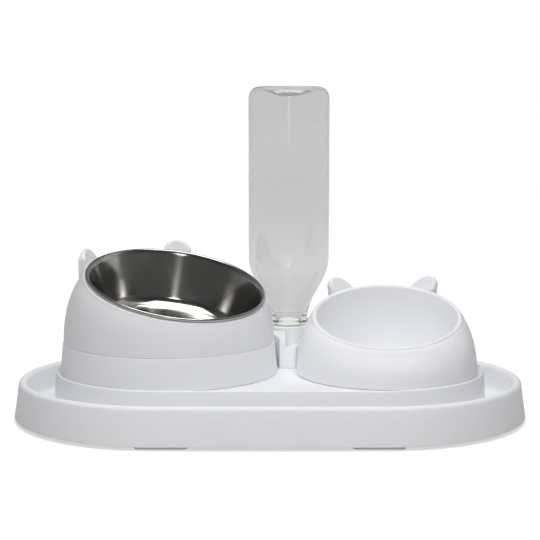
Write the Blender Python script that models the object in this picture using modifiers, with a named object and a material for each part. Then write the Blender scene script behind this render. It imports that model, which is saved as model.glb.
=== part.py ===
"""Cat feeding station: a tray, a turned food stand with a steel bowl, a water bowl and an inverted bottle.

Metres, +Z up. The tray stands on z = 0 with its middle at the origin. The front faces -Y and the food stand is
at -X. Sizes below are the driving dimensions; every other size and place is worked out from them.
"""

from math import copysign, cos, degrees, pi, radians, sin, sqrt, tan

import bmesh
import bpy
from mathutils import Matrix, Vector

# Gap kept between pieces that touch or seat on each other
TOUCH = 0.0003

# How far a cutter runs past the face that it opens
CUT_PAST = 0.003

# Facets of round pieces, and of the cuts that follow the large ones closely
SIDES_CUT = 96
SIDES_LARGE = 48
SIDES_MIDDLE = 32
SIDES_SMALL = 20

# Tray
TRAY_WALL = 0.0022
SKIRT_BOTTOM = 0.003
SKIRT_FLARE = 0.0041
RIM_HEIGHT = 0.0323
RIM_ROUND = 0.003
MOAT_WIDTH = 0.0233
MOAT_FLOOR = 0.012
MOAT_FILLET = 0.005
DECK_HEIGHT = 0.0375
LIP_HEIGHT = 0.0015
LIP_WIDTH = 0.0021
DECK_GAP = 0.0014
END_GAP_FOOD = 0.0015
END_GAP_WATER = 0.0043
END_MOAT_EXTRA = 0.0029
BOWL_GAP = 0.0152
SPIGOT_HEIGHT = 0.005
SPIGOT_WALL = 0.002
SPIGOT_CLEARANCE = 0.0015
COLLAR_CLEARANCE = 0.0006

# Anti-slip pads
PAD_LENGTH = 0.039
PAD_WIDTH = 0.012
PAD_SPACING = 0.162
PAD_BOSS_MARGIN = 0.001

# Food stand and its steel bowl
STAND_FOOT_RADIUS = 0.0868
STAND_RING_TAPER = 0.0022
STAND_RING_HEIGHT = 0.0245
STAND_WALL = 0.0024
STAND_SEAM_GAP = 0.0006
STAND_COLLAR_HEIGHT = 0.005
FOOD_TURN = radians(33.4)
FOOD_TILT = radians(16.0)
FOOD_RIM_RISE = 0.0715
FOOD_RIM_OFFSET = 0.0115
WALL_FULLNESS = 0.65
STEEL_RIM_RADIUS = 0.0723
STEEL_RIM_BEAD = 0.0013
STEEL_ROLL_START = 120.0
STEEL_ROLL_END = -150.0
STEEL_BODY_INSET = 0.0032
STEEL_TAPER = radians(18.0)
STEEL_DEPTH = 0.042
STEEL_CORNER = 0.012
STEEL_WALL = 0.0008
SHELL_RIM_MARGIN = 0.0014
SHELL_RIM_THICKNESS = 0.002
SHELL_OPENING_CLEARANCE = 0.0012

# Water bowl
WATER_FOOT_RADIUS = 0.072
WATER_FORWARD = 0.010
WATER_TURN = radians(-2.2)
WATER_TILT = radians(16.45)
WATER_RIM_RISE = 0.0455
WATER_RIM_OFFSET = 0.005
WATER_MOUTH_RADIUS = 0.0561
WATER_RIM_WIDTH = 0.0039
WATER_RIM_ROUND = 0.0012
WATER_FLOOR_RADIUS = 0.040
WATER_FLOOR_RISE = 0.0045
WATER_WALL = 0.0024

# Ears, alike on the stand and on the water bowl: where they stand from the rim's highest point, and their
# outline, which is half an ellipse at a point of 1 and comes closer to a triangle above that
EAR_ANGLE = radians(34.0)
EAR_TURN = radians(2.7)
EAR_HALF_WIDTH = 0.0114
EAR_POINT = 1.2
EAR_STEPS = 12
EAR_BASE_THICKNESS = 0.0068
EAR_TIP_THICKNESS = 0.0024
EAR_ROOT = 0.020
EAR_CLEARANCE = 0.0009
FOOD_EAR_HEIGHT = 0.0087
FOOD_EAR_LEAN = -0.001
WATER_EAR_HEIGHT = 0.0107
WATER_EAR_LEAN = 0.0045

# Bottle
BOTTLE_RADIUS = 0.0334
BOTTLE_HEIGHT = 0.2118
BOTTLE_WALL = 0.0009
BOTTLE_SHIFT = 0.0023
BOTTLE_SWING_GAP = 0.0011
BOTTLE_HEEL = 0.009
BASE_RING_WIDTH = 0.0019
PUSH_UP_DEPTH = 0.008
NECK_RADIUS = 0.0124
NECK_WALL = 0.0016
NECK_FINISH = 0.0157
SUPPORT_RING_WIDTH = 0.001
SUPPORT_RING_THICKNESS = 0.0028
SHOULDER_NECK_RADIUS = 0.0155
SHOULDER_LENGTH = 0.051
THREAD_PITCH = 0.0032
THREAD_TURNS = 1.5
THREAD_RADIUS = 0.0009

# Cap and its valve
CAP_WALL = 0.0026
CAP_PLATE = 0.002
CAP_LENGTH = 0.0166
CAP_THREAD_ROOM = 0.0018
CAP_CHAMFER = 0.001
GASKET_THICKNESS = 0.0007
GASKET_WIDTH = 0.002
VALVE_TRAVEL = 0.0035
VALVE_HOLE_RADIUS = 0.0042
STEM_RADIUS = 0.0024
STEM_GUIDE_RADIUS = 0.0015
HEAD_RADIUS = 0.0074
HEAD_THICKNESS = 0.002
SEAL_THICKNESS = 0.0012
SPRING_WIRE = 0.0009
SPRING_RADIUS = 0.0042
SPRING_LENGTH = 0.0066
SPRING_TURNS = 3.0
CAGE_WALL = 0.001
CAGE_CLEARANCE = 0.0005
CAGE_WINDOW = 0.007

# Bottle seat
SEAT_HEIGHT = 0.0237
SEAT_WALL = 0.0025
SEAT_FLOOR = 0.003
SEAT_CLEARANCE = 0.0015
SEAT_LENGTH = 0.0564
SEAT_BACK_WRAP = 20.0
SEAT_FRONT_HALF_WIDTH = 0.016
SEAT_BOWL_GAP = 0.0022
SEAT_NOTCH_DEPTH = 0.0065
SEAT_NOTCH_SHIFT = 0.0035
SEAT_POCKET_REACH = 0.9
SEAT_LEDGE_WIDTH = 0.0045
SEAT_POST_RADIUS = 0.0022
CAP_RISE = 0.0072
SPOUT_RADIUS = 0.0029
SPOUT_WALL = 0.0009
SPOUT_RISE = 0.0072
SPOUT_REACH = 0.0455
GROMMET_WALL = 0.0011
GROMMET_LENGTH = 0.011

# Places along the tray: the stand, the gap and the water bowl stand in a row on the deck
deck_inner_length = (
    END_GAP_FOOD + 2 * STAND_FOOT_RADIUS + BOWL_GAP + 2 * WATER_FOOT_RADIUS + END_GAP_WATER
)
stand_x = -deck_inner_length / 2 + END_GAP_FOOD + STAND_FOOT_RADIUS
water_x = stand_x + STAND_FOOT_RADIUS + BOWL_GAP + WATER_FOOT_RADIUS

# Radii of the cap and its seat, from the bottle's neck outwards
neck_bore = NECK_RADIUS - NECK_WALL
cage_radius = neck_bore - CAGE_CLEARANCE
cap_inner_radius = NECK_RADIUS + CAP_THREAD_ROOM
cap_radius = cap_inner_radius + CAP_WALL
socket_radius = cap_radius + SEAT_CLEARANCE
seat_back_radius = socket_radius + SEAT_WALL

# Bottle place: behind the gap between the bowls, clear of the steel bowl at every turn of the stand, with room
# for the seat beside both feet
stand_swing = FOOD_RIM_OFFSET + STEEL_RIM_RADIUS * cos(FOOD_TILT)
bottle_x = stand_x + STAND_FOOT_RADIUS + BOWL_GAP / 2 + BOTTLE_SHIFT
stand_reach = max(
    stand_swing + BOTTLE_SWING_GAP + BOTTLE_RADIUS,
    STAND_FOOT_RADIUS + SEAT_BOWL_GAP + seat_back_radius,
)
water_reach = WATER_FOOT_RADIUS + SEAT_BOWL_GAP + seat_back_radius
bottle_y = max(
    sqrt(stand_reach**2 - (bottle_x - stand_x) ** 2),
    sqrt(water_reach**2 - (water_x - bottle_x) ** 2) - WATER_FORWARD,
)

# Tray sizes that follow: the deck is as wide as the widest of the pieces on it
deck_inner_radius = DECK_GAP + max(
    STAND_FOOT_RADIUS, WATER_FORWARD + WATER_FOOT_RADIUS, bottle_y + seat_back_radius
)
deck_radius = deck_inner_radius + LIP_WIDTH
deck_half_straight = deck_inner_length / 2 - deck_inner_radius
rim_half_straight = deck_half_straight + END_MOAT_EXTRA
rim_radius = deck_radius + MOAT_WIDTH
moat_outer = rim_radius - RIM_ROUND - TRAY_WALL
lip_top = DECK_HEIGHT + LIP_HEIGHT
deck_seat = DECK_HEIGHT + TOUCH

# Bowl sizes that follow; each bowl is drawn about its own axis with its low side towards -Y
seam_radius = STAND_FOOT_RADIUS - STAND_RING_TAPER
seam_height = deck_seat + STAND_RING_HEIGHT
food_rim_centre = Vector((0.0, -FOOD_RIM_OFFSET, DECK_HEIGHT + FOOD_RIM_RISE))
water_rim_centre = Vector((0.0, WATER_RIM_OFFSET, DECK_HEIGHT + WATER_RIM_RISE))
water_rim_radius = WATER_MOUTH_RADIUS + WATER_RIM_WIDTH

# Heights of the cap, valve and bottle, from the seat upwards
seat_floor = deck_seat + SEAT_FLOOR
cap_bottom = seat_floor + CAP_RISE
cap_plate_top = cap_bottom + CAP_PLATE
gasket_bottom = cap_plate_top + TOUCH
mouth_height = gasket_bottom + GASKET_THICKNESS + TOUCH
neck_thread_bottom = mouth_height + THREAD_PITCH
support_ring_height = mouth_height + NECK_FINISH
seal_bottom = cap_plate_top + VALVE_TRAVEL + TOUCH
head_bottom = seal_bottom + SEAL_THICKNESS + TOUCH
head_top = head_bottom + HEAD_THICKNESS
spring_bottom = head_top + TOUCH
spring_top = spring_bottom + SPRING_LENGTH
cage_ceiling = spring_top + TOUCH


def clear_scene():
    for obj in list(bpy.data.objects):
        bpy.data.objects.remove(obj, do_unlink=True)


def new_collection(name):
    collection = bpy.data.collections.new(name)
    bpy.context.scene.collection.children.link(collection)
    return collection


def new_material(name, colour, roughness, metallic=0.0):
    material = bpy.data.materials.new(name)
    material.use_nodes = True
    shader = material.node_tree.nodes["Principled BSDF"]
    shader.inputs["Base Color"].default_value = (*colour, 1.0)
    shader.inputs["Roughness"].default_value = roughness
    shader.inputs["Metallic"].default_value = metallic
    return material


clear_scene()
PARTS = new_collection("cat_feeding_station")
CUTTERS = new_collection("cutters")


def new_axis(name, location, turn=0.0):
    """An empty on a piece's own axis, which carries the pieces drawn about that axis."""
    axis = bpy.data.objects.new(name, None)
    axis.location = location
    axis.rotation_euler.z = turn
    PARTS.objects.link(axis)
    return axis


def add_object(name, mesh, material=None, parent=None, location=(0, 0, 0), tilt=0.0):
    """A sub-part if it has a material, and otherwise a cutter."""
    obj = bpy.data.objects.new(name, mesh)
    obj.parent = parent
    obj.location = location
    obj.rotation_euler.x = tilt
    if material:
        mesh.materials.append(material)
        PARTS.objects.link(obj)
    else:
        obj.hide_render = True
        obj.display_type = "WIRE"
        CUTTERS.objects.link(obj)
    return obj


def mesh_from(bm, name, smooth_below=35.0):
    bmesh.ops.recalc_face_normals(bm, faces=bm.faces)
    mesh = bpy.data.meshes.new(name)
    bm.to_mesh(mesh)
    bm.free()
    mesh.shade_smooth()
    mesh.set_sharp_from_angle(angle=radians(smooth_below))
    return mesh


def turned(name, profile, sides, material=None, closed=False, **place):
    """A profile of (radius, height) points, turned about Z; it runs down its outer side."""
    bm = bmesh.new()
    verts = [bm.verts.new((radius, 0.0, height)) for radius, height in profile]
    for first, second in zip(verts, verts[1:]):
        bm.edges.new((first, second))
    if closed:
        bm.edges.new((verts[-1], verts[0]))
    mesh = bpy.data.meshes.new(name)
    bm.to_mesh(mesh)
    bm.free()
    obj = add_object(name, mesh, material, **place)
    screw = obj.modifiers.new("turn", "SCREW")
    screw.steps = sides
    screw.render_steps = sides
    screw.use_merge_vertices = True
    screw.merge_threshold = 0.00001
    screw.use_smooth_shade = True
    return obj


def cylinder(name, radius, low, high, sides, material=None, **place):
    bm = bmesh.new()
    bmesh.ops.create_cone(
        bm, cap_ends=True, segments=sides, radius1=radius, radius2=radius, depth=high - low,
        matrix=Matrix.Translation((0, 0, (low + high) / 2)),
    )
    return add_object(name, mesh_from(bm, name), material, **place)


def boxes(name, sizes_and_centres, material=None, **place):
    """Separate boxes in one object, from (size, centre) pairs."""
    bm = bmesh.new()
    for size, centre in sizes_and_centres:
        bmesh.ops.create_cube(
            bm, size=1.0, matrix=Matrix.Translation(centre) @ Matrix.Diagonal((*size, 1.0))
        )
    return add_object(name, mesh_from(bm, name), material, **place)


def lofted(name, rings, material=None, capped=True, **place):
    """Faces between rings of equal counts; the ends are capped, or the last ring joins the first."""
    bm = bmesh.new()
    rows = [[bm.verts.new(point) for point in ring] for ring in rings]
    pairs = list(zip(rows, rows[1:]))
    if capped:
        bm.faces.new(rows[0])
        bm.faces.new(rows[-1])
    else:
        pairs.append((rows[-1], rows[0]))
    for lower, upper in pairs:
        count = len(lower)
        for i in range(count):
            j = (i + 1) % count
            bm.faces.new((lower[i], lower[j], upper[j], upper[i]))
    return add_object(name, mesh_from(bm, name), material, **place)


def mesh_of_curve(curve_object, name, material=None):
    """The curve's solid as a welded mesh object in the same place."""
    CUTTERS.objects.link(curve_object)
    bpy.context.view_layer.update()
    evaluated = curve_object.evaluated_get(bpy.context.evaluated_depsgraph_get())
    bm = bmesh.new()
    bm.from_mesh(bpy.data.meshes.new_from_object(evaluated))
    bmesh.ops.remove_doubles(bm, verts=bm.verts, dist=0.00001)
    obj = add_object(name, mesh_from(bm, name), material)
    obj.matrix_world = curve_object.matrix_world
    bpy.data.objects.remove(curve_object, do_unlink=True)
    return obj


def slab(name, outline, low, high, material=None):
    """A flat outline of (x, y) points, from one height to another."""
    curve = bpy.data.curves.new(name, "CURVE")
    curve.dimensions = "2D"
    curve.fill_mode = "BOTH"
    curve.extrude = (high - low) / 2
    spline = curve.splines.new("POLY")
    spline.points.add(len(outline) - 1)
    for point, (x, y) in zip(spline.points, outline):
        point.co = (x, y, 0.0, 1.0)
    spline.use_cyclic_u = True
    obj = bpy.data.objects.new(name + "_outline", curve)
    obj.location.z = (low + high) / 2
    return mesh_of_curve(obj, name, material)


def wire(name, points, radius, material=None):
    """A round tube of straight runs between the points, with closed ends."""
    curve = bpy.data.curves.new(name, "CURVE")
    curve.dimensions = "3D"
    curve.bevel_depth = radius
    curve.bevel_resolution = 1
    curve.use_fill_caps = True
    spline = curve.splines.new("POLY")
    spline.points.add(len(points) - 1)
    for point, place in zip(spline.points, points):
        point.co = (*place, 1.0)
    return mesh_of_curve(bpy.data.objects.new(name + "_line", curve), name, material)


def cut(target, cutter, operation="DIFFERENCE"):
    modifier = target.modifiers.new(cutter.name, "BOOLEAN")
    modifier.operation = operation
    modifier.object = cutter
    modifier.solver = "EXACT"


def join(target, piece):
    cut(target, piece, "UNION")


def arc(centre, radius, start, end, steps):
    """Points of (radius, height) on an arc, from one angle in degrees to another."""
    angles = [radians(start + (end - start) * i / steps) for i in range(steps + 1)]
    return [(centre[0] + radius * cos(a), centre[1] + radius * sin(a)) for a in angles]


def stadium(radius, height, half_straight, steps=18):
    """A level ring round two end centres."""
    points = []
    for centre, start in ((half_straight, -pi / 2), (-half_straight, pi / 2)):
        for i in range(steps + 1):
            angle = start + pi * i / steps
            points.append(Vector((centre + radius * cos(angle), radius * sin(angle), height)))
    return points


def slanted_ring(radius, centre, tilt, lift=0.0, sides=SIDES_LARGE):
    """A circle in a plane that leans towards -Y, moved along the plane's normal by the lift."""
    normal = Vector((0.0, -sin(tilt), cos(tilt)))
    uphill = Vector((0.0, cos(tilt), sin(tilt)))
    across = Vector((1.0, 0.0, 0.0))
    turns = [2 * pi * i / sides for i in range(sides)]
    return [
        centre + normal * lift + across * (radius * cos(a)) + uphill * (radius * sin(a))
        for a in turns
    ]


def swept_rings(bottom, bends, top, steps):
    """Rings from bottom to top whose section is a curve drawn towards the bends."""
    rings = []
    for k in range(steps + 1):
        t = k / steps
        rings.append([
            low * (1 - t) ** 2 + bend * (2 * t * (1 - t)) + high * t**2
            for low, bend, high in zip(bottom, bends, top)
        ])
    return rings


def full_wall(bottom, top, steps=6):
    """A wall that leaves the bottom ring upright and leans in to the top ring."""
    bends = [
        Vector((low.x, low.y, low.z + WALL_FULLNESS * (high.z - low.z)))
        for low, high in zip(bottom, top)
    ]
    return swept_rings(bottom, bends, top, steps)


def drawn_in(ring, distance):
    """The ring made smaller all round, towards its own middle."""
    middle = sum(ring, Vector()) / len(ring)
    return [point + (middle - point).normalized() * distance for point in ring]


def ear(name, rim_centre, rim_radius, inner_radius, tilt, side, height, lean, parent):
    """One ear on the high side of a slanted rim: a leaning dome, upright behind, sloping back in front."""
    angle = side * EAR_ANGLE - EAR_TURN
    outward = Vector((sin(angle), cos(angle), 0.0))
    along = Vector((cos(angle), -sin(angle), 0.0))
    rim_height = rim_centre.z + rim_radius * cos(angle) * sin(tilt)
    foot = Vector((rim_centre.x, rim_centre.y, rim_height)) + outward * inner_radius
    outline = [(EAR_HALF_WIDTH, -EAR_ROOT)]
    for i in range(EAR_STEPS + 1):
        turn = pi * i / EAR_STEPS
        across = EAR_HALF_WIDTH * copysign(abs(cos(turn)) ** EAR_POINT, cos(turn))
        outline.append((across + side * lean * sin(turn), height * sin(turn)))
    outline.append((-EAR_HALF_WIDTH, -EAR_ROOT))
    front, back = [], []
    for across, rise in outline:
        slope_back = (EAR_BASE_THICKNESS - EAR_TIP_THICKNESS) * max(rise, 0.0) / height
        place = foot + along * across + Vector((0.0, 0.0, rise))
        front.append(place + outward * slope_back)
        back.append(place + outward * EAR_BASE_THICKNESS)
    return lofted(name, [front, back], parent=parent)


def helix(radius, bottom, pitch, turns, steps):
    """Points of a right-handed coil about the bottle's axis."""
    count = int(round(turns * steps))
    points = []
    for i in range(count + 1):
        angle = 2 * pi * i / steps
        points.append(Vector((radius * cos(angle), radius * sin(angle), bottom + pitch * i / steps)))
    return points


WHITE = new_material("white_plastic", (0.82, 0.83, 0.84), 0.32)
CREAM = new_material("cap_plastic", (0.80, 0.82, 0.78), 0.38)
STEEL = new_material("stainless_steel", (0.62, 0.62, 0.62), 0.18, 1.0)
CLEAR = new_material("bottle_plastic", (0.86, 0.88, 0.88), 0.08)
RUBBER = new_material("pad_rubber", (0.55, 0.56, 0.57), 0.75)
SILICONE = new_material("seal_silicone", (0.80, 0.80, 0.78), 0.55)
SPRING_STEEL = new_material("spring_steel", (0.55, 0.55, 0.56), 0.30, 1.0)

stand_axis = new_axis("food_stand_axis", (stand_x, 0.0, 0.0), FOOD_TURN)
water_axis = new_axis("water_bowl_axis", (water_x, -WATER_FORWARD, 0.0), WATER_TURN)
bottle_axis = new_axis("bottle_axis", (bottle_x, bottle_y, 0.0))


def make_tray():
    """One wall thickness throughout: deck, lip, moat, rim and flared skirt, open below."""
    wall_foot = deck_radius + LIP_HEIGHT
    rim_shoulder = RIM_HEIGHT - RIM_ROUND
    fillet = MOAT_FILLET + TRAY_WALL
    fillet_height = MOAT_FLOOR + MOAT_FILLET
    deck = [(deck_inner_radius, DECK_HEIGHT)]
    deck += arc((deck_radius - LIP_WIDTH / 2, lip_top - LIP_WIDTH / 2), LIP_WIDTH / 2, 180, 0, 4)
    deck += arc((wall_foot + MOAT_FILLET, fillet_height), MOAT_FILLET, 180, 270, 3)
    rim = arc((moat_outer - MOAT_FILLET, fillet_height), MOAT_FILLET, 270, 360, 3)
    rim += arc((rim_radius, rim_shoulder), RIM_ROUND, 180, 0, 6)
    skirt_foot = rim_radius + RIM_ROUND + SKIRT_FLARE
    hollow_top = rim_shoulder - TRAY_WALL
    rim.append((skirt_foot, SKIRT_BOTTOM))
    rim.append((skirt_foot - TRAY_WALL, SKIRT_BOTTOM))
    rim.append((rim_radius + RIM_ROUND - TRAY_WALL, hollow_top))
    rim.append((rim_radius - RIM_ROUND + TRAY_WALL, hollow_top))
    rim += arc((moat_outer - MOAT_FILLET, fillet_height), fillet, 360, 270, 3)
    deck_under = arc((wall_foot + MOAT_FILLET, fillet_height), fillet, 270, 180, 3)
    deck_under.append((deck_radius - TRAY_WALL, DECK_HEIGHT - TRAY_WALL))
    rings = [stadium(radius, height, deck_half_straight) for radius, height in deck]
    rings += [stadium(radius, height, rim_half_straight) for radius, height in rim]
    rings += [stadium(radius, height, deck_half_straight) for radius, height in deck_under]
    tray = lofted("base_tray", rings, WHITE)
    spigots = (
        ("stand_spigot", STAND_FOOT_RADIUS - STAND_WALL, stand_axis),
        ("water_spigot", WATER_FOOT_RADIUS - WATER_WALL, water_axis),
    )
    for name, wall_radius, axis in spigots:
        outer = wall_radius - SPIGOT_CLEARANCE
        inner = outer - SPIGOT_WALL
        low = DECK_HEIGHT - TRAY_WALL / 2
        high = DECK_HEIGHT + SPIGOT_HEIGHT
        section = [(inner, high), (outer, high), (outer, low), (inner, low)]
        join(tray, turned(name, section, SIDES_LARGE, closed=True, parent=axis))
    boss_size = (
        PAD_LENGTH + PAD_BOSS_MARGIN * 2,
        PAD_WIDTH + PAD_BOSS_MARGIN * 2,
        MOAT_FLOOR - TRAY_WALL / 2 - SKIRT_BOTTOM - TOUCH,
    )
    boss_height = SKIRT_BOTTOM + TOUCH + boss_size[2] / 2
    places = [(x, y, boss_height) for x, y in pad_places().values()]
    join(tray, boxes("pad_bosses", [(boss_size, place) for place in places]))
    return tray


def pad_places():
    """Pads lie below the moat's outer wall, one at each corner of the tray."""
    return {
        f"anti_slip_pad_{depth}_{side}": (x * PAD_SPACING / 2, y * moat_outer)
        for depth, y in (("front", -1), ("rear", 1))
        for side, x in (("left", -1), ("right", 1))
    }


def make_pads():
    for name, (x, y) in pad_places().items():
        size = (PAD_LENGTH, PAD_WIDTH, SKIRT_BOTTOM)
        boxes(name, [(size, (0, 0, SKIRT_BOTTOM / 2))], RUBBER, location=(x, y, 0.0))


def make_stand():
    """Ring below the seam, with a collar inside the shell; slanted shell with two ears above it."""
    seam_inner = seam_radius - STAND_WALL
    collar = seam_inner - COLLAR_CLEARANCE
    collar_top = seam_height + STAND_COLLAR_HEIGHT
    turned("food_stand_ring", [
        (collar - STAND_WALL, collar_top),
        (collar, collar_top),
        (collar, seam_height),
        (seam_radius, seam_height),
        (STAND_FOOT_RADIUS, deck_seat),
        (STAND_FOOT_RADIUS - STAND_WALL, deck_seat),
        (seam_inner, seam_height - STAND_COLLAR_HEIGHT),
        (collar - STAND_WALL, seam_height - STAND_WALL),
    ], SIDES_LARGE, WHITE, closed=True, parent=stand_axis)

    shell_foot = Vector((0.0, 0.0, seam_height + STAND_SEAM_GAP))
    rim_outer = STEEL_RIM_RADIUS + SHELL_RIM_MARGIN
    opening = STEEL_RIM_RADIUS - STEEL_BODY_INSET + SHELL_OPENING_CLEARANCE
    seat = -STEEL_RIM_BEAD - TOUCH
    edge = seat - SHELL_RIM_MARGIN
    under = seat - SHELL_RIM_THICKNESS

    def rim(radius, lift):
        return slanted_ring(radius, food_rim_centre, FOOD_TILT, lift)

    rings = full_wall(slanted_ring(seam_radius, shell_foot, 0.0), rim(rim_outer, edge))
    rings.append(rim(rim_outer - SHELL_RIM_MARGIN / 2, seat))
    rings.append(rim(opening, seat))
    rings.append(rim(opening, under))
    inner_top = rim(rim_outer - STAND_WALL, under - SHELL_RIM_MARGIN)
    inner = full_wall(slanted_ring(seam_inner, shell_foot, 0.0), inner_top, 4)
    shell = lofted("food_stand_shell", rings + inner[::-1], WHITE, capped=False, parent=stand_axis)
    for side, word in ((-1, "left"), (1, "right")):
        join(shell, ear(
            f"stand_ear_{word}", food_rim_centre, rim_outer, STEEL_RIM_RADIUS + EAR_CLEARANCE,
            FOOD_TILT, side, FOOD_EAR_HEIGHT, FOOD_EAR_LEAN, stand_axis,
        ))


def make_steel_bowl():
    """Tapered bowl with a rolled rim, drawn about its own slanted axis with the rim's middle at zero."""
    wall_top = STEEL_RIM_RADIUS - STEEL_BODY_INSET
    bead = (STEEL_RIM_RADIUS - STEEL_RIM_BEAD, 0.0)
    slope = tan(STEEL_TAPER)

    def side(inset):
        """The wall's lower end and its rounded corner, at a distance inside the outer face."""
        corner = STEEL_CORNER - inset
        floor = -STEEL_DEPTH + inset
        centre_height = -STEEL_DEPTH + STEEL_CORNER
        middle = wall_top - STEEL_DEPTH * slope - STEEL_CORNER / cos(STEEL_TAPER) + STEEL_CORNER * slope
        return [(0.0, floor)] + arc((middle, centre_height), corner, -90.0, -degrees(STEEL_TAPER), 4)

    inside = side(STEEL_WALL) + [(wall_top - STEEL_WALL, -STEEL_RIM_BEAD)]
    rim = arc(bead, STEEL_RIM_BEAD, STEEL_ROLL_START, STEEL_ROLL_END, 7)
    outside = [(wall_top + STEEL_WALL / 2, -STEEL_RIM_BEAD), (wall_top, -STEEL_RIM_BEAD * 2)]
    outside += side(0.0)[::-1]
    place = {"parent": stand_axis, "location": food_rim_centre, "tilt": FOOD_TILT}
    turned("steel_bowl", inside + rim + outside, SIDES_LARGE, STEEL, **place)


def make_water_bowl():
    """Double wall with a slanted mouth: dish inside, full wall outside, hollow between them from below."""
    floor = Vector((0.0, 0.0, DECK_HEIGHT + WATER_FLOOR_RISE))
    floor_under = floor - Vector((0.0, 0.0, WATER_WALL))
    foot = Vector((0.0, 0.0, deck_seat))
    rim_middle = WATER_MOUTH_RADIUS + WATER_RIM_WIDTH / 2
    dish_bend = rim_middle - WATER_RIM_WIDTH

    def level(radius, centre):
        return slanted_ring(radius, centre, 0.0)

    def rim(radius, lift):
        return slanted_ring(radius, water_rim_centre, WATER_TILT, lift)

    dish = swept_rings(
        level(WATER_FLOOR_RADIUS, floor), level(dish_bend, floor),
        rim(WATER_MOUTH_RADIUS, -WATER_RIM_ROUND), 6,
    )
    crest = [
        rim(WATER_MOUTH_RADIUS + WATER_RIM_ROUND, 0.0),
        rim(water_rim_radius - WATER_RIM_ROUND, 0.0),
    ]
    outside = full_wall(level(WATER_FOOT_RADIUS, foot), rim(water_rim_radius, -WATER_RIM_ROUND))
    below_rim = outside[:-1]
    hollow_outer = [drawn_in(ring, WATER_WALL) for ring in below_rim]
    hollow_inner = swept_rings(
        drawn_in(below_rim[-1], WATER_WALL + WATER_RIM_ROUND),
        level(dish_bend + WATER_WALL, floor_under),
        level(WATER_FLOOR_RADIUS, floor_under), 4,
    )
    rings = dish + crest + outside[::-1] + hollow_outer + hollow_inner
    bowl = lofted("water_bowl", rings, WHITE, parent=water_axis)
    for side, word in ((-1, "left"), (1, "right")):
        join(bowl, ear(
            f"water_ear_{word}", water_rim_centre, water_rim_radius,
            WATER_MOUTH_RADIUS + EAR_CLEARANCE, WATER_TILT, side, WATER_EAR_HEIGHT, WATER_EAR_LEAN,
            water_axis,
        ))
    return bowl


def spout_line():
    """Start, direction and length of the spout, level, from the bottle's axis to the water bowl's."""
    start = Vector((bottle_x, bottle_y, seat_floor + SPOUT_RISE))
    end = Vector((water_x, -WATER_FORWARD, start.z))
    return start, (end - start).normalized(), (end - start).length


def level_cylinder(name, radius, first, last, material=None):
    """A cylinder along the spout line, between two distances from the bottle's axis."""
    start, direction, _ = spout_line()
    bm = bmesh.new()
    turn = direction.to_track_quat("Z", "Y").to_matrix().to_4x4()
    middle = Matrix.Translation(start + direction * (first + last) / 2)
    bmesh.ops.create_cone(
        bm, cap_ends=True, segments=SIDES_SMALL, radius1=radius, radius2=radius,
        depth=last - first, matrix=middle @ turn,
    )
    return add_object(name, mesh_from(bm, name), material)


def housing(name, inset, low, high, material=None):
    """The seat's block: round behind the socket, drawn in between the bowls, moved in by the inset."""
    back = seat_back_radius - inset
    front = bottle_y - SEAT_LENGTH + inset
    half = SEAT_FRONT_HALF_WIDTH - inset
    outline = arc((bottle_x, bottle_y), back, -SEAT_BACK_WRAP, 180.0 + SEAT_BACK_WRAP, 14)
    outline += [(bottle_x - half, front), (bottle_x + half, front)]
    block = slab(name, outline, low, high, material)
    for word, radius, axis in (
        ("stand", STAND_FOOT_RADIUS, stand_axis),
        ("bowl", WATER_FOOT_RADIUS, water_axis),
    ):
        room = cylinder(
            f"{name}_{word}_room", radius + SEAT_BOWL_GAP + inset, low - CUT_PAST, high + CUT_PAST,
            SIDES_CUT, parent=axis,
        )
        cut(block, room)
    return block


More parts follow.
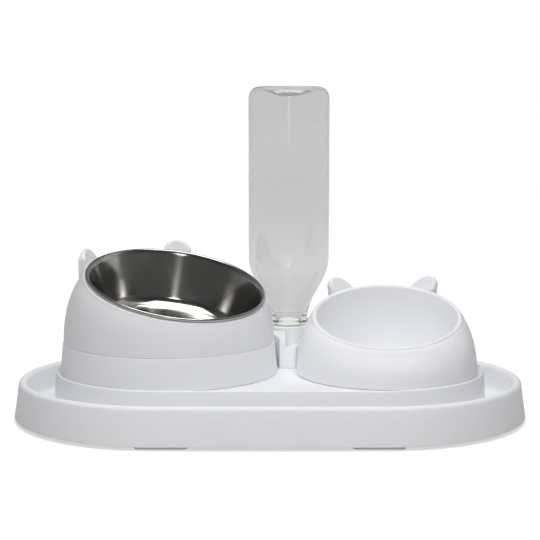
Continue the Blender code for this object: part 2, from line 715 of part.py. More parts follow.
def make_seat():
    """Housing with a socket for the cap, a post that opens the valve, and a spout to the water bowl."""
    top = deck_seat + SEAT_HEIGHT
    seat = housing("bottle_seat", 0.0, deck_seat, top, WHITE)
    hollow = housing("seat_hollow", SEAT_WALL, deck_seat - CUT_PAST, top - SEAT_WALL)
    well_wall = cylinder(
        "seat_well_wall", seat_back_radius, deck_seat - CUT_PAST * 2, top, SIDES_MIDDLE,
        parent=bottle_axis,
    )
    cut(hollow, well_wall)
    notch_x = bottle_x - SEAT_NOTCH_SHIFT
    ledge = cap_bottom - TOUCH
    pocket_floor = ledge - SEAT_WALL / 2
    notch_room = boxes("seat_notch_room", [(
        (SEAT_LENGTH, SEAT_LENGTH, (top - pocket_floor + SEAT_WALL) * 2),
        (notch_x + SEAT_LENGTH / 2 - SEAT_WALL, bottle_y - (socket_radius + SEAT_LENGTH) / 2, top),
    )])
    cut(hollow, notch_room)
    cut(seat, hollow)
    notch_length = SEAT_LENGTH + CUT_PAST
    notch = boxes("seat_notch", [(
        (SEAT_LENGTH, notch_length, SEAT_NOTCH_DEPTH * 2),
        (notch_x + SEAT_LENGTH / 2, bottle_y - notch_length / 2, top),
    )])
    cut(seat, notch)
    pocket = housing("seat_pocket", SEAT_WALL, pocket_floor, top + CUT_PAST)
    pocket_back = bottle_y - socket_radius * SEAT_POCKET_REACH
    pocket_side = notch_x + TOUCH * 2
    cut(pocket, boxes("seat_pocket_side", [(
        (SEAT_LENGTH, SEAT_LENGTH * 3, top), (pocket_side - SEAT_LENGTH / 2, bottle_y, top),
    )]))
    cut(pocket, boxes("seat_pocket_back", [(
        (SEAT_LENGTH * 3, SEAT_LENGTH, top), (bottle_x, pocket_back + SEAT_LENGTH / 2, top),
    )]))
    cut(seat, pocket)
    socket = cylinder("seat_socket", socket_radius, ledge, top + CUT_PAST, SIDES_MIDDLE, parent=bottle_axis)
    cut(seat, socket)
    well_radius = socket_radius - SEAT_LEDGE_WIDTH
    well = cylinder("seat_well", well_radius, seat_floor, top, SIDES_MIDDLE, parent=bottle_axis)
    cut(seat, well)
    post = cylinder(
        "seat_post", SEAT_POST_RADIUS, seat_floor - SEAT_FLOOR / 2, ledge, SIDES_SMALL, parent=bottle_axis
    )
    join(seat, post)
    spout_end = spout_line()[2] - SPOUT_REACH
    join(seat, level_cylinder("seat_spout", SPOUT_RADIUS, socket_radius + SEAT_WALL / 2, spout_end))
    bore = SPOUT_RADIUS - SPOUT_WALL
    cut(seat, level_cylinder("seat_spout_bore", bore, well_radius - CUT_PAST, spout_end + CUT_PAST))


def make_grommet(bowl):
    """Sleeve round the spout's end, in a hole through both walls of the water bowl."""
    end = spout_line()[2] - SPOUT_REACH
    inner = SPOUT_RADIUS + TOUCH
    outer = inner + GROMMET_WALL
    grommet = level_cylinder("inlet_grommet", outer, end - GROMMET_LENGTH, end, SILICONE)
    cut(grommet, level_cylinder("grommet_bore", inner, end - GROMMET_LENGTH * 2, end + GROMMET_LENGTH))
    hole_start = seat_back_radius
    cut(bowl, level_cylinder("inlet_hole", outer + TOUCH, hole_start, end + GROMMET_WALL))


def bottle_shoulder(inset, steps=7):
    """The shoulder's S-curve, from the body down to the neck, moved in by the wall."""
    low = support_ring_height + SUPPORT_RING_THICKNESS
    points = []
    for i in range(steps + 1):
        t = 1.0 - i / steps
        share = (1 - cos(pi * t)) / 2
        radius = SHOULDER_NECK_RADIUS + (BOTTLE_RADIUS - SHOULDER_NECK_RADIUS) * share
        points.append((radius - inset, low + SHOULDER_LENGTH * t))
    return points


def make_bottle():
    """Upside down: push-up base at the top, shoulder, support ring and threaded neck below."""
    top = mouth_height + BOTTLE_HEIGHT

    def base(inset):
        centre = (BOTTLE_RADIUS - BOTTLE_HEEL, top - BOTTLE_HEEL)
        push_up_radius = centre[0] - BASE_RING_WIDTH
        dome = [
            (push_up_radius * share, top - PUSH_UP_DEPTH * (1 - share**2) - inset)
            for share in (0.0, 0.5, 1.0)
        ]
        return dome + arc(centre, BOTTLE_HEEL - inset, 90.0, 0.0, 5)

    ring_top = support_ring_height + SUPPORT_RING_THICKNESS
    ring_radius = SHOULDER_NECK_RADIUS + SUPPORT_RING_WIDTH
    outside = base(0.0) + bottle_shoulder(0.0)
    outside += [
        (ring_radius, ring_top),
        (ring_radius, support_ring_height),
        (NECK_RADIUS, support_ring_height),
        (NECK_RADIUS, mouth_height),
    ]
    inside = [(neck_bore, mouth_height), (neck_bore, support_ring_height)]
    inside += bottle_shoulder(BOTTLE_WALL)[::-1] + base(BOTTLE_WALL)[::-1]
    bottle = turned("water_bottle", outside + inside, SIDES_MIDDLE, CLEAR, parent=bottle_axis)
    line = helix(NECK_RADIUS, neck_thread_bottom, THREAD_PITCH, THREAD_TURNS, SIDES_SMALL)
    thread = wire("neck_thread", line, THREAD_RADIUS)
    thread.parent = bottle_axis
    join(bottle, thread)


def make_cap():
    """Screw cap with a hole for the valve; its thread runs half a pitch off the neck's."""
    top = cap_bottom + CAP_LENGTH
    cap = turned("bottle_cap", [
        (cap_inner_radius, top),
        (cap_radius, top),
        (cap_radius, cap_bottom + CAP_CHAMFER),
        (cap_radius - CAP_CHAMFER, cap_bottom),
        (VALVE_HOLE_RADIUS, cap_bottom),
        (VALVE_HOLE_RADIUS, cap_plate_top),
        (cap_inner_radius, cap_plate_top),
    ], SIDES_MIDDLE, CREAM, closed=True, parent=bottle_axis)
    thread_bottom = neck_thread_bottom + THREAD_PITCH / 2
    line = helix(cap_inner_radius, thread_bottom, THREAD_PITCH, THREAD_TURNS, SIDES_SMALL)
    thread = wire("cap_thread", line, THREAD_RADIUS)
    thread.parent = bottle_axis
    join(cap, thread)
    gasket_radius = neck_bore + GASKET_WIDTH
    turned("cap_gasket", [
        (neck_bore, gasket_bottom + GASKET_THICKNESS),
        (gasket_radius, gasket_bottom + GASKET_THICKNESS),
        (gasket_radius, gasket_bottom),
        (neck_bore, gasket_bottom),
    ], SIDES_MIDDLE, SILICONE, closed=True, parent=bottle_axis)


def make_valve():
    """Plunger, its seal, the spring above its head and the windowed cage that holds the spring."""
    guide_top = cage_ceiling + CAGE_WALL + TOUCH
    turned("valve_stem", [
        (0.0, guide_top),
        (STEM_GUIDE_RADIUS, guide_top),
        (STEM_GUIDE_RADIUS, head_top),
        (HEAD_RADIUS, head_top),
        (HEAD_RADIUS, head_bottom),
        (STEM_RADIUS, head_bottom),
        (STEM_RADIUS, cap_bottom),
        (0.0, cap_bottom),
    ], SIDES_SMALL, CREAM, parent=bottle_axis)
    seal_inner = STEM_RADIUS + TOUCH
    turned("valve_seal", [
        (seal_inner, seal_bottom + SEAL_THICKNESS),
        (HEAD_RADIUS, seal_bottom + SEAL_THICKNESS),
        (HEAD_RADIUS, seal_bottom),
        (seal_inner, seal_bottom),
    ], SIDES_SMALL, SILICONE, closed=True, parent=bottle_axis)
    wire_radius = SPRING_WIRE / 2
    pitch = (SPRING_LENGTH - SPRING_WIRE * 2) / SPRING_TURNS
    line = helix(SPRING_RADIUS, spring_bottom + SPRING_WIRE, pitch, SPRING_TURNS, 10)
    spring = wire("valve_spring", line, wire_radius, SPRING_STEEL)
    spring.parent = bottle_axis
    print("valve_spring least gap to itself, mm:", round(least_gap(line, wire_radius, 5) * 1000, 2))
    cage_low = cap_plate_top + TOUCH
    ceiling_hole = STEM_GUIDE_RADIUS + TOUCH
    cage = turned("spring_cage", [
        (ceiling_hole, cage_ceiling + CAGE_WALL),
        (cage_radius, cage_ceiling + CAGE_WALL),
        (cage_radius, cage_low),
        (cage_radius - CAGE_WALL, cage_low),
        (cage_radius - CAGE_WALL, cage_ceiling),
        (ceiling_hole, cage_ceiling),
    ], SIDES_MIDDLE, CREAM, closed=True, parent=bottle_axis)
    low = cage_low + CAGE_WALL * 2
    high = cage_ceiling - CAGE_WALL * 2
    for word, size in (
        ("across", (cage_radius * 3, CAGE_WINDOW, high - low)),
        ("along", (CAGE_WINDOW, cage_radius * 3, high - low)),
    ):
        window = boxes(f"cage_windows_{word}", [(size, (0, 0, (low + high) / 2))], parent=bottle_axis)
        cut(cage, window)


def least_gap(points, radius, skip):
    """The smallest clear distance between parts of a tube that are more than a few points apart."""
    distances = [
        (points[i] - points[j]).length
        for i in range(len(points))
        for j in range(i + skip, len(points))
    ]
    return min(distances) - 2 * radius


make_tray()
make_pads()
make_stand()
make_steel_bowl()
water_bowl = make_water_bowl()
make_seat()
make_grommet(water_bowl)
make_bottle()
make_cap()
make_valve()
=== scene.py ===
# Looks of the cat feeding station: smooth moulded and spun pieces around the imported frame, in metres, +Z up.
# The front faces -Y. Each piece stands where its solid is and moves with the same body.

from math import copysign, cos, pi, radians, sin, tan

import bmesh
import bpy
from mathutils import Matrix, Vector


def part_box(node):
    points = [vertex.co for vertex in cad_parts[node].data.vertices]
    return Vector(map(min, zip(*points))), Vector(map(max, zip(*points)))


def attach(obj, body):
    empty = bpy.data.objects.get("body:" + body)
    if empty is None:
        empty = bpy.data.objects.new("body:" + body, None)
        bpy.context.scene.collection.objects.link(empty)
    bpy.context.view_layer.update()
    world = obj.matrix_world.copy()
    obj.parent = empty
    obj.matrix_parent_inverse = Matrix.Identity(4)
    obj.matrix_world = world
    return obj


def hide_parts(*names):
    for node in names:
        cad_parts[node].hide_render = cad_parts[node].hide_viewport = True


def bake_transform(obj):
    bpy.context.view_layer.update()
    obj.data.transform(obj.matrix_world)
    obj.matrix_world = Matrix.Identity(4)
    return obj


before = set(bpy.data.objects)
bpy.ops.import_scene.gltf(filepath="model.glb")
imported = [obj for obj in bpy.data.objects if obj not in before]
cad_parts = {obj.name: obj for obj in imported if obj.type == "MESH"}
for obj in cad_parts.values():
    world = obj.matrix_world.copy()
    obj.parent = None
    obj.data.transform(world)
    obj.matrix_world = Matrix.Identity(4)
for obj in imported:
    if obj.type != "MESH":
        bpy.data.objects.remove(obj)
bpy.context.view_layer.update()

# Steps of a full turn, by the size of the piece, of a rounded corner, of a large soft one and of curved walls
TURN_LARGE = 160
TURN_MIDDLE = 96
TURN_SMALL = 48
CORNER_STEPS = 5
SOFT_STEPS = 6
WALL_STEPS = 18
HIDDEN_STEPS = 10

# Distance below which points are one point, how far a cutter runs past the face that it opens, how many times
# a length it spans where it has to cross a whole piece, and the play between pieces that touch
WELD = 0.000002
CUT_PAST = 0.003
CUT_SPAN = 3
TOUCH = 0.0003

# Shares of a half thickness or of a ring's width that a full rounding takes, so that its arcs stay apart
RIM_ROUND_SHARE = 0.95
RING_ROUND_SHARE = 0.9

# Tray
TRAY_WALL = 0.0022
SKIRT_FLARE = 0.0041
RIM_HEIGHT = 0.0323
RIM_ROUND = 0.003
MOAT_WIDTH = 0.0233
MOAT_FLOOR = 0.012
MOAT_FILLET = 0.005
DECK_HEIGHT = 0.0375
LIP_HEIGHT = 0.0015
LIP_WIDTH = 0.0021
END_MOAT_EXTRA = 0.0029
SPIGOT_HEIGHT = 0.005
SPIGOT_WALL = 0.002
SPIGOT_CLEARANCE = 0.0015
PAD_BOSS_MARGIN = 0.001
PAD_CORNER_SHARE = 0.3
PAD_PLACES = ("front_left", "front_right", "rear_left", "rear_right")

# Food stand and its steel bowl; lip, bead top and curl are shares of the bead, the rim's curve of the margin
STAND_FOOT_RADIUS = 0.0868
STAND_RING_TAPER = 0.0022
STAND_RING_HEIGHT = 0.0245
STAND_WALL = 0.0024
STAND_SEAM_LEDGE = 0.0007
STAND_COLLAR_HEIGHT = 0.005
COLLAR_CLEARANCE = 0.0006
FOOD_TURN = radians(33.4)
FOOD_TILT = radians(16.0)
FOOD_RIM_RISE = 0.0715
FOOD_RIM_OFFSET = 0.0115
WALL_FULLNESS = 0.65
STEEL_RIM_RADIUS = 0.0723
STEEL_RIM_BEAD = 0.0013
STEEL_LIP_ROUND = 0.8
STEEL_BEAD_TOP = 0.3
STEEL_BEAD_TOP_ROUND = 0.6
STEEL_CURL = 0.4
STEEL_CURL_ROUND = 0.3
STEEL_CURL_END = 0.5
STEEL_BODY_INSET = 0.0032
STEEL_TAPER = radians(18.0)
STEEL_DEPTH = 0.042
STEEL_CORNER = 0.012
STEEL_WALL = 0.0008
SHELL_RIM_MARGIN = 0.0014
SHELL_RIM_CURVE = ((0.1, 0.5), (0.35, 0.85), (0.7, 1.0))
SHELL_RIM_THICKNESS = 0.002
SHELL_OPENING_CLEARANCE = 0.0012

# Water bowl; the rim curve goes in and down by shares of the rounding
WATER_FOOT_RADIUS = 0.072
WATER_TURN = radians(-2.2)
WATER_TILT = radians(16.45)
WATER_RIM_RISE = 0.0455
WATER_RIM_OFFSET = 0.005
WATER_MOUTH_RADIUS = 0.0561
WATER_RIM_WIDTH = 0.0039
WATER_RIM_ROUND = 0.0012
WATER_RIM_CURVE = ((0.13, 0.5), (0.5, 0.13), (1.0, 0.0))
WATER_RINGS_ABOVE_HOLLOW = 3
WATER_FLOOR_RADIUS = 0.040
WATER_FLOOR_RISE = 0.0045
WATER_WALL = 0.0024

# Ears; a point above 1 draws the dome in towards its tip
EAR_ANGLE = radians(34.0)
EAR_TURN = radians(2.7)
EAR_HALF_WIDTH = 0.0114
EAR_POINT = 1.2
EAR_STEPS = 40
EAR_BASE_THICKNESS = 0.0068
EAR_TIP_THICKNESS = 0.0024
EAR_ROOT = 0.020
EAR_CLEARANCE = 0.0009
EAR_FRONT_EDGE = 0.002
EAR_BACK_EDGE = 0.0003
EAR_BACK_SHARPNESS = radians(60.0)
FOOD_EAR_HEIGHT = 0.0087
FOOD_EAR_LEAN = -0.001
WATER_EAR_HEIGHT = 0.0107
WATER_EAR_LEAN = 0.0045

# Bottle
BOTTLE_RADIUS = 0.0334
BOTTLE_WALL = 0.0009
BOTTLE_HEEL = 0.009
BASE_RING_WIDTH = 0.0019
PUSH_UP_DEPTH = 0.008
NECK_RADIUS = 0.0124
NECK_WALL = 0.0016
NECK_FINISH = 0.0157
SUPPORT_RING_WIDTH = 0.001
SUPPORT_RING_THICKNESS = 0.0028
SHOULDER_NECK_RADIUS = 0.0155
SHOULDER_LENGTH = 0.051
NECK_FLARE = 0.010
THREAD_PITCH = 0.0032
THREAD_TURNS = 1.5
THREAD_RADIUS = 0.0009

# Cap and its valve
CAP_WALL = 0.0026
CAP_PLATE = 0.002
CAP_THREAD_ROOM = 0.0018
CAP_CHAMFER = 0.001
VALVE_HOLE_RADIUS = 0.0042
STEM_RADIUS = 0.0024
STEM_GUIDE_RADIUS = 0.0015
HEAD_RADIUS = 0.0074
HEAD_THICKNESS = 0.002
SPRING_WIRE = 0.0009
SPRING_RADIUS = 0.0042
SPRING_TURNS = 3.0
CAGE_WALL = 0.001
CAGE_CLEARANCE = 0.0005
CAGE_WINDOW = 0.007

# Bottle seat
SEAT_HEIGHT = 0.0237
SEAT_WALL = 0.0025
SEAT_FLOOR = 0.003
SEAT_CLEARANCE = 0.0015
SEAT_LENGTH = 0.0564
SEAT_BACK_WRAP = radians(20.0)
SEAT_FRONT_HALF_WIDTH = 0.016
SEAT_BOWL_GAP = 0.0022
SEAT_NOTCH_DEPTH = 0.0065
SEAT_NOTCH_SHIFT = 0.0035
SEAT_POCKET_REACH = 0.9
SEAT_LEDGE_WIDTH = 0.0045
SEAT_POST_RADIUS = 0.0022
SEAT_EDGE = 0.0005
SEAT_FRONT_CORNER = 0.0025
SPOUT_RADIUS = 0.0029
SPOUT_WALL = 0.0009
SPOUT_RISE = 0.0072
SPOUT_REACH = 0.0455
GROMMET_WALL = 0.0011
GROMMET_LENGTH = 0.011

# Roundings of edges: soft moulded ones, sharp moulded ones and those of small fittings
SOFT_EDGE = 0.0008
CRISP_EDGE = 0.0005
FINE_EDGE = 0.0002


def axis_of(node):
    """The place on the floor below the middle of a round node."""
    low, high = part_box(node)
    middle = (low + high) / 2
    return Vector((middle.x, middle.y, 0.0))


stand_place = axis_of("food_stand_ring")
water_place = axis_of("water_bowl")
bottle_place = axis_of("water_bottle")
stand_frame = Matrix.Translation(stand_place) @ Matrix.Rotation(FOOD_TURN, 4, "Z")
water_frame = Matrix.Translation(water_place) @ Matrix.Rotation(WATER_TURN, 4, "Z")
bottle_frame = Matrix.Translation(bottle_place)

# Heights and radii that follow
deck_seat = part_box("food_stand_ring")[0].z
skirt_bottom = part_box("base_tray")[0].z
seam_radius = STAND_FOOT_RADIUS - STAND_RING_TAPER
seam_height = deck_seat + STAND_RING_HEIGHT
food_rim_centre = Vector((0.0, -FOOD_RIM_OFFSET, DECK_HEIGHT + FOOD_RIM_RISE))
water_rim_centre = Vector((0.0, WATER_RIM_OFFSET, DECK_HEIGHT + WATER_RIM_RISE))
water_rim_radius = WATER_MOUTH_RADIUS + WATER_RIM_WIDTH
steel_frame = stand_frame @ Matrix.Translation(food_rim_centre) @ Matrix.Rotation(FOOD_TILT, 4, "X")
neck_bore = NECK_RADIUS - NECK_WALL
cap_inner_radius = NECK_RADIUS + CAP_THREAD_ROOM
cap_radius = cap_inner_radius + CAP_WALL
socket_radius = cap_radius + SEAT_CLEARANCE
seat_back_radius = socket_radius + SEAT_WALL
seat_floor = deck_seat + SEAT_FLOOR
mouth_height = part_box("water_bottle")[0].z
bottle_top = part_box("water_bottle")[1].z
cap_bottom, cap_top = (corner.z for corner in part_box("bottle_cap"))
cap_plate_top = cap_bottom + CAP_PLATE
neck_thread_bottom = mouth_height + THREAD_PITCH
support_ring_height = mouth_height + NECK_FINISH


# Mesh tools

def draw_line(bm, corners, closed=False):
    """A line of (radius, height, rounding) corners in XZ; a rounding reaches so far along both sides."""
    verts = [bm.verts.new((radius, 0.0, height)) for radius, height, _ in corners]
    for first, second in zip(verts, verts[1:]):
        bm.edges.new((first, second))
    if closed:
        bm.edges.new((verts[-1], verts[0]))
    for vert, (_, _, rounding) in zip(verts, corners):
        if rounding:
            bmesh.ops.bevel(
                bm, geom=[vert], offset=rounding, offset_type="OFFSET", segments=CORNER_STEPS,
                profile=0.5, affect="VERTICES", material=-1,
            )


def verts_of(geometry):
    return [item for item in geometry if isinstance(item, bmesh.types.BMVert)]


def is_upright(edge):
    return abs(edge.verts[0].co.z - edge.verts[1].co.z) > TOUCH


def round_edges(bm, edges, width, steps=CORNER_STEPS, clamp=False):
    bmesh.ops.bevel(
        bm, geom=edges, offset=width, offset_type="OFFSET", segments=steps, profile=0.5,
        affect="EDGES", clamp_overlap=clamp, material=-1,
    )


def weld(bm):
    bmesh.ops.remove_doubles(bm, verts=bm.verts, dist=WELD)
    bmesh.ops.recalc_face_normals(bm, faces=bm.faces)


def move_to(bm, place):
    bmesh.ops.transform(bm, matrix=place, verts=bm.verts)


def spun(corners, steps, closed=False, place=None):
    """A solid of revolution about Z, moved to its place."""
    bm = bmesh.new()
    draw_line(bm, corners, closed)
    bmesh.ops.spin(
        bm, geom=bm.verts[:] + bm.edges[:], cent=(0, 0, 0), axis=(0, 0, 1), dvec=(0, 0, 0),
        angle=2 * pi, steps=steps, use_merge=True, use_duplicate=False,
    )
    weld(bm)
    if place:
        move_to(bm, place)
    return bm


def washer(inner, outer, low, high, steps, place, outer_edge=FINE_EDGE):
    """A flat ring or a sleeve with softened edges."""
    return spun([
        (inner, high, FINE_EDGE),
        (outer, high, outer_edge),
        (outer, low, outer_edge),
        (inner, low, FINE_EDGE),
    ], steps, True, place)


def coil(radius, bottom, pitch, turns, wire_radius, steps, sides=12):
    """A right-handed coil of round wire about Z, closed at both ends."""
    bm = bmesh.new()
    start = Matrix.Translation((radius, 0, bottom)) @ Matrix.Rotation(pi / 2, 4, "X")
    bmesh.ops.create_circle(bm, cap_ends=False, segments=sides, radius=wire_radius, matrix=start)
    count = round(turns * steps)
    bmesh.ops.spin(
        bm, geom=bm.verts[:] + bm.edges[:], cent=(0, 0, 0), axis=(0, 0, 1), dvec=(0, 0, pitch / steps),
        angle=2 * pi * turns, steps=count, use_merge=False, use_duplicate=False,
    )
    bmesh.ops.holes_fill(bm, edges=[edge for edge in bm.edges if edge.is_boundary], sides=0)
    weld(bm)
    return bm


def rod(radius, first, last, steps=TURN_SMALL):
    """A round rod between two points."""
    bm = bmesh.new()
    along = last - first
    turn = along.to_track_quat("Z", "Y").to_matrix().to_4x4()
    bmesh.ops.create_cone(
        bm, cap_ends=True, segments=steps, radius1=radius, radius2=radius, depth=along.length,
        matrix=Matrix.Translation((first + last) / 2) @ turn,
    )
    return bm


def upright(place, radius, low, high, steps=TURN_MIDDLE):
    """An upright rod on an axis, between two heights."""
    return rod(radius, place + Vector((0, 0, low)), place + Vector((0, 0, high)), steps)


def block(size, centre):
    bm = bmesh.new()
    bmesh.ops.create_cube(bm, size=1.0, matrix=Matrix.Translation(centre) @ Matrix.Diagonal((*size, 1.0)))
    return bm


def ring_place(radius, centre, tilt=0.0, lift=0.0):
    """Puts a unit circle in a plane that leans towards -Y, moved along the plane's normal by the lift."""
    leaning = Matrix.Translation(centre) @ Matrix.Rotation(tilt, 4, "X")
    return leaning @ Matrix.Translation((0, 0, lift)) @ Matrix.Diagonal((radius, radius, 1.0, 1.0))


def curved_rings(low, bend, high, steps):
    """Ring places from low to high on a curve that is drawn towards the bend."""
    shares = [i / steps for i in range(steps + 1)]
    return [low * (1 - t) ** 2 + bend * (2 * t * (1 - t)) + high * t**2 for t in shares]


def full_wall(low, high, steps):
    """Ring places of a wall that leaves the low ring upright and leans in to the high one."""
    bend = low.copy()
    bend[2] = low[2] + (high[2] - low[2]) * WALL_FULLNESS
    return curved_rings(low, bend, high, steps)


def drawn_in(place, radius, distance):
    """The ring made smaller all round by a distance."""
    share = 1.0 - distance / radius
    return place @ Matrix.Diagonal((share, share, 1.0, 1.0))


def wall_of_rings(places, capped, steps=TURN_LARGE):
    """A wall from ring to ring; its ends are capped, or its last ring meets the first."""
    bm = bmesh.new()
    made = bmesh.ops.create_circle(bm, cap_ends=capped, segments=steps, radius=1.0, matrix=places[0])
    ring = set(made["verts"])
    for before, after in zip(places, places[1:]):
        edges = [edge for edge in bm.edges if edge.verts[0] in ring and edge.verts[1] in ring]
        grown = bmesh.ops.extrude_edge_only(bm, edges=edges)["geom"]
        ring = set(verts_of(grown))
        bmesh.ops.transform(bm, matrix=after @ before.inverted(), verts=list(ring))
    if capped:
        bmesh.ops.holes_fill(bm, edges=[edge for edge in bm.edges if edge.is_boundary], sides=0)
    weld(bm)
    return bm


def object_from(bm, name):
    mesh = bpy.data.meshes.new(name)
    bm.to_mesh(mesh)
    bm.free()
    obj = bpy.data.objects.new(name, mesh)
    bpy.context.scene.collection.objects.link(obj)
    return obj


def carved(bm, tool, operation):
    """The shape joined with a tool shape, or cut by it."""
    target = object_from(bm, "carved")
    cutter = object_from(tool, "tool")
    modifier = target.modifiers.new("carve", "BOOLEAN")
    modifier.operation = operation
    modifier.object = cutter
    modifier.solver = "EXACT"
    bpy.context.view_layer.update()
    result = bmesh.new()
    result.from_object(target, bpy.context.evaluated_depsgraph_get())
    for obj in (target, cutter):
        mesh = obj.data
        bpy.data.objects.remove(obj)
        bpy.data.meshes.remove(mesh)
    return result


def joined(bm, *tools):
    for tool in tools:
        bm = carved(bm, tool, "UNION")
    return bm


def cut(bm, *tools):
    for tool in tools:
        bm = carved(bm, tool, "DIFFERENCE")
    return bm


def soften(bm, width, sharper_than=radians(35.0), steps=3):
    """Rounds every edge that is sharper than an angle."""
    edges = [edge for edge in bm.edges if edge.is_manifold and edge.calc_face_angle() > sharper_than]
    round_edges(bm, edges, width, steps, True)


def add_piece(name, bm, material, slot, body, *nodes, crease=40.0):
    """A finished piece that rides on a body and stands for its solids."""
    weld(bm)
    obj = object_from(bm, name)
    obj.data.shade_smooth()
    obj.data.set_sharp_from_angle(angle=radians(crease))
    obj.data.materials.append(material)
    if body:
        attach(obj, body)
    if nodes:
        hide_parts(*nodes)
    return obj


# Materials: patches, waves, lines and grains to the metre, and how deep they are in metres

FLOW_MARKS = 22.0
GLOSS_PATCHES = 70.0
SINK_WAVES = 40.0
SINK_DEPTH = 0.00012
MOULD_GRAIN = 1500.0
MOULD_GRAIN_DEPTH = 0.00002
TURNING_LINES = 900.0
POLISH_SMEARS = 45.0
WIRE_SCRATCHES = 900.0
SCRATCH_DEPTH = 0.00001
HAZE_PATCHES = 60.0
BLOWN_WAVES = 35.0
BLOWN_DEPTH = 0.0002
RUBBER_PATCHES = 160.0

# Where a noise value lies for the most part, and how many finer layers it has
NOISE_LOW = 0.3
NOISE_HIGH = 0.7
DETAIL_SOFT = 2.0
DETAIL_MIDDLE = 3.0
DETAIL_FINE = 4.0

# How clearly a relief shows
RELIEF_FAINT = 0.3
RELIEF_FINE = 0.5
RELIEF_CLEAR = 0.6

# How far the roughness of a finish goes below and above its own value
PLASTIC_GLOSS = (-0.04, 0.05)
STEEL_GLOSS = (-0.03, 0.05)
CLEAR_GLOSS = (0.0, 0.03)
RUBBER_GLOSS = (-0.06, 0.06)
WIRE_GLOSS = (-0.08, 0.08)

# Limits of an outer edge's painted highlight and of a look along a clear wall's painted shade, depth of light
# in milky plastic, and refraction
EDGE_LIGHT_START = 0.52
EDGE_LIGHT_END = 0.62
GRAZING_BLEND = 0.5
GRAZING_START = 0.7
GRAZING_END = 0.95
MILKY_DEPTH = 0.003
CLEAR_IOR = 1.45


def new_material(name):
    material = bpy.data.materials.new(name)
    material.use_nodes = True
    tree = material.node_tree
    return material, tree, tree.nodes["Principled BSDF"]


def object_place(tree):
    return tree.nodes.new("ShaderNodeTexCoord").outputs["Object"]


def noise(tree, place, scale, detail=DETAIL_SOFT):
    texture = tree.nodes.new("ShaderNodeTexNoise")
    texture.inputs["Scale"].default_value = scale
    texture.inputs["Detail"].default_value = detail
    tree.links.new(place, texture.inputs["Vector"])
    return texture.outputs["Fac"]


def ranged(tree, value, start, end, low=0.0, high=1.0, easing="LINEAR"):
    """Goes from low to high while a value goes from start to end."""
    spread = tree.nodes.new("ShaderNodeMapRange")
    spread.interpolation_type = easing
    for name, setting in (("From Min", start), ("From Max", end), ("To Min", low), ("To Max", high)):
        spread.inputs[name].default_value = setting
    tree.links.new(value, spread.inputs["Value"])
    return spread.outputs["Result"]


def set_gloss(tree, shader, value, roughness, spread):
    """A roughness that a noise value takes below and above its own value."""
    below, above = spread
    gloss = ranged(tree, value, NOISE_LOW, NOISE_HIGH, roughness + below, roughness + above)
    tree.links.new(gloss, shader.inputs["Roughness"])


def share_of(tree, place, axis):
    """How far a place or a direction goes along an axis."""
    apart = tree.nodes.new("ShaderNodeSeparateXYZ")
    tree.links.new(place, apart.inputs["Vector"])
    return apart.outputs[axis]


def length_of(tree, place):
    length = tree.nodes.new("ShaderNodeVectorMath")
    length.operation = "LENGTH"
    tree.links.new(place, length.inputs[0])
    return length.outputs["Value"]


def flat_place(tree, across, along):
    """A place in a plane from two values."""
    place = tree.nodes.new("ShaderNodeCombineXYZ")
    tree.links.new(across, place.inputs["X"])
    tree.links.new(along, place.inputs["Y"])
    return place.outputs["Vector"]


def mixed(tree, share, first, second):
    """A colour between two, by a share; either may be a socket."""
    mix = tree.nodes.new("ShaderNodeMix")
    mix.data_type = "RGBA"
    tree.links.new(share, mix.inputs["Factor"])
    for socket, colour in ((mix.inputs[6], first), (mix.inputs[7], second)):
        if isinstance(colour, tuple):
            socket.default_value = (*colour, 1.0)
        else:
            tree.links.new(colour, socket)
    return mix.outputs[2]


def relief(tree, height, distance, strength, over=None):
    bump = tree.nodes.new("ShaderNodeBump")
    bump.inputs["Strength"].default_value = strength
    bump.inputs["Distance"].default_value = distance
    tree.links.new(height, bump.inputs["Height"])
    if over:
        tree.links.new(over, bump.inputs["Normal"])
    return bump.outputs["Normal"]


def painted_edge_light(tree):
    """Mask of a painted highlight: one on the outer edges of a piece, and nothing elsewhere."""
    geometry = tree.nodes.new("ShaderNodeNewGeometry")
    return ranged(tree, geometry.outputs["Pointiness"], EDGE_LIGHT_START, EDGE_LIGHT_END)


def moulded_plastic(name, colour, shade, edge, roughness, specular=0.4, milkiness=0.0):
    """Satin moulded plastic: soft flow marks, a fine mould grain and a painted highlight that makes the outer
    edges paler; it may be milky.
    """
    material, tree, shader = new_material(name)
    place = object_place(tree)
    flow = mixed(tree, noise(tree, place, FLOW_MARKS, DETAIL_MIDDLE), shade, colour)
    # Painted highlight: the outer edges take the paler edge colour
    tree.links.new(mixed(tree, painted_edge_light(tree), flow, edge), shader.inputs["Base Color"])
    set_gloss(tree, shader, noise(tree, place, GLOSS_PATCHES, DETAIL_MIDDLE), roughness, PLASTIC_GLOSS)
    shader.inputs["Specular IOR Level"].default_value = specular
    shader.inputs["Subsurface Weight"].default_value = milkiness
    shader.inputs["Subsurface Radius"].default_value = (1.0, 1.0, 1.0)
    shader.inputs["Subsurface Scale"].default_value = MILKY_DEPTH
    waves = relief(tree, noise(tree, place, SINK_WAVES), SINK_DEPTH, RELIEF_CLEAR)
    grain = relief(tree, noise(tree, place, MOULD_GRAIN), MOULD_GRAIN_DEPTH, RELIEF_FINE, waves)
    tree.links.new(grain, shader.inputs["Normal"])
    return material


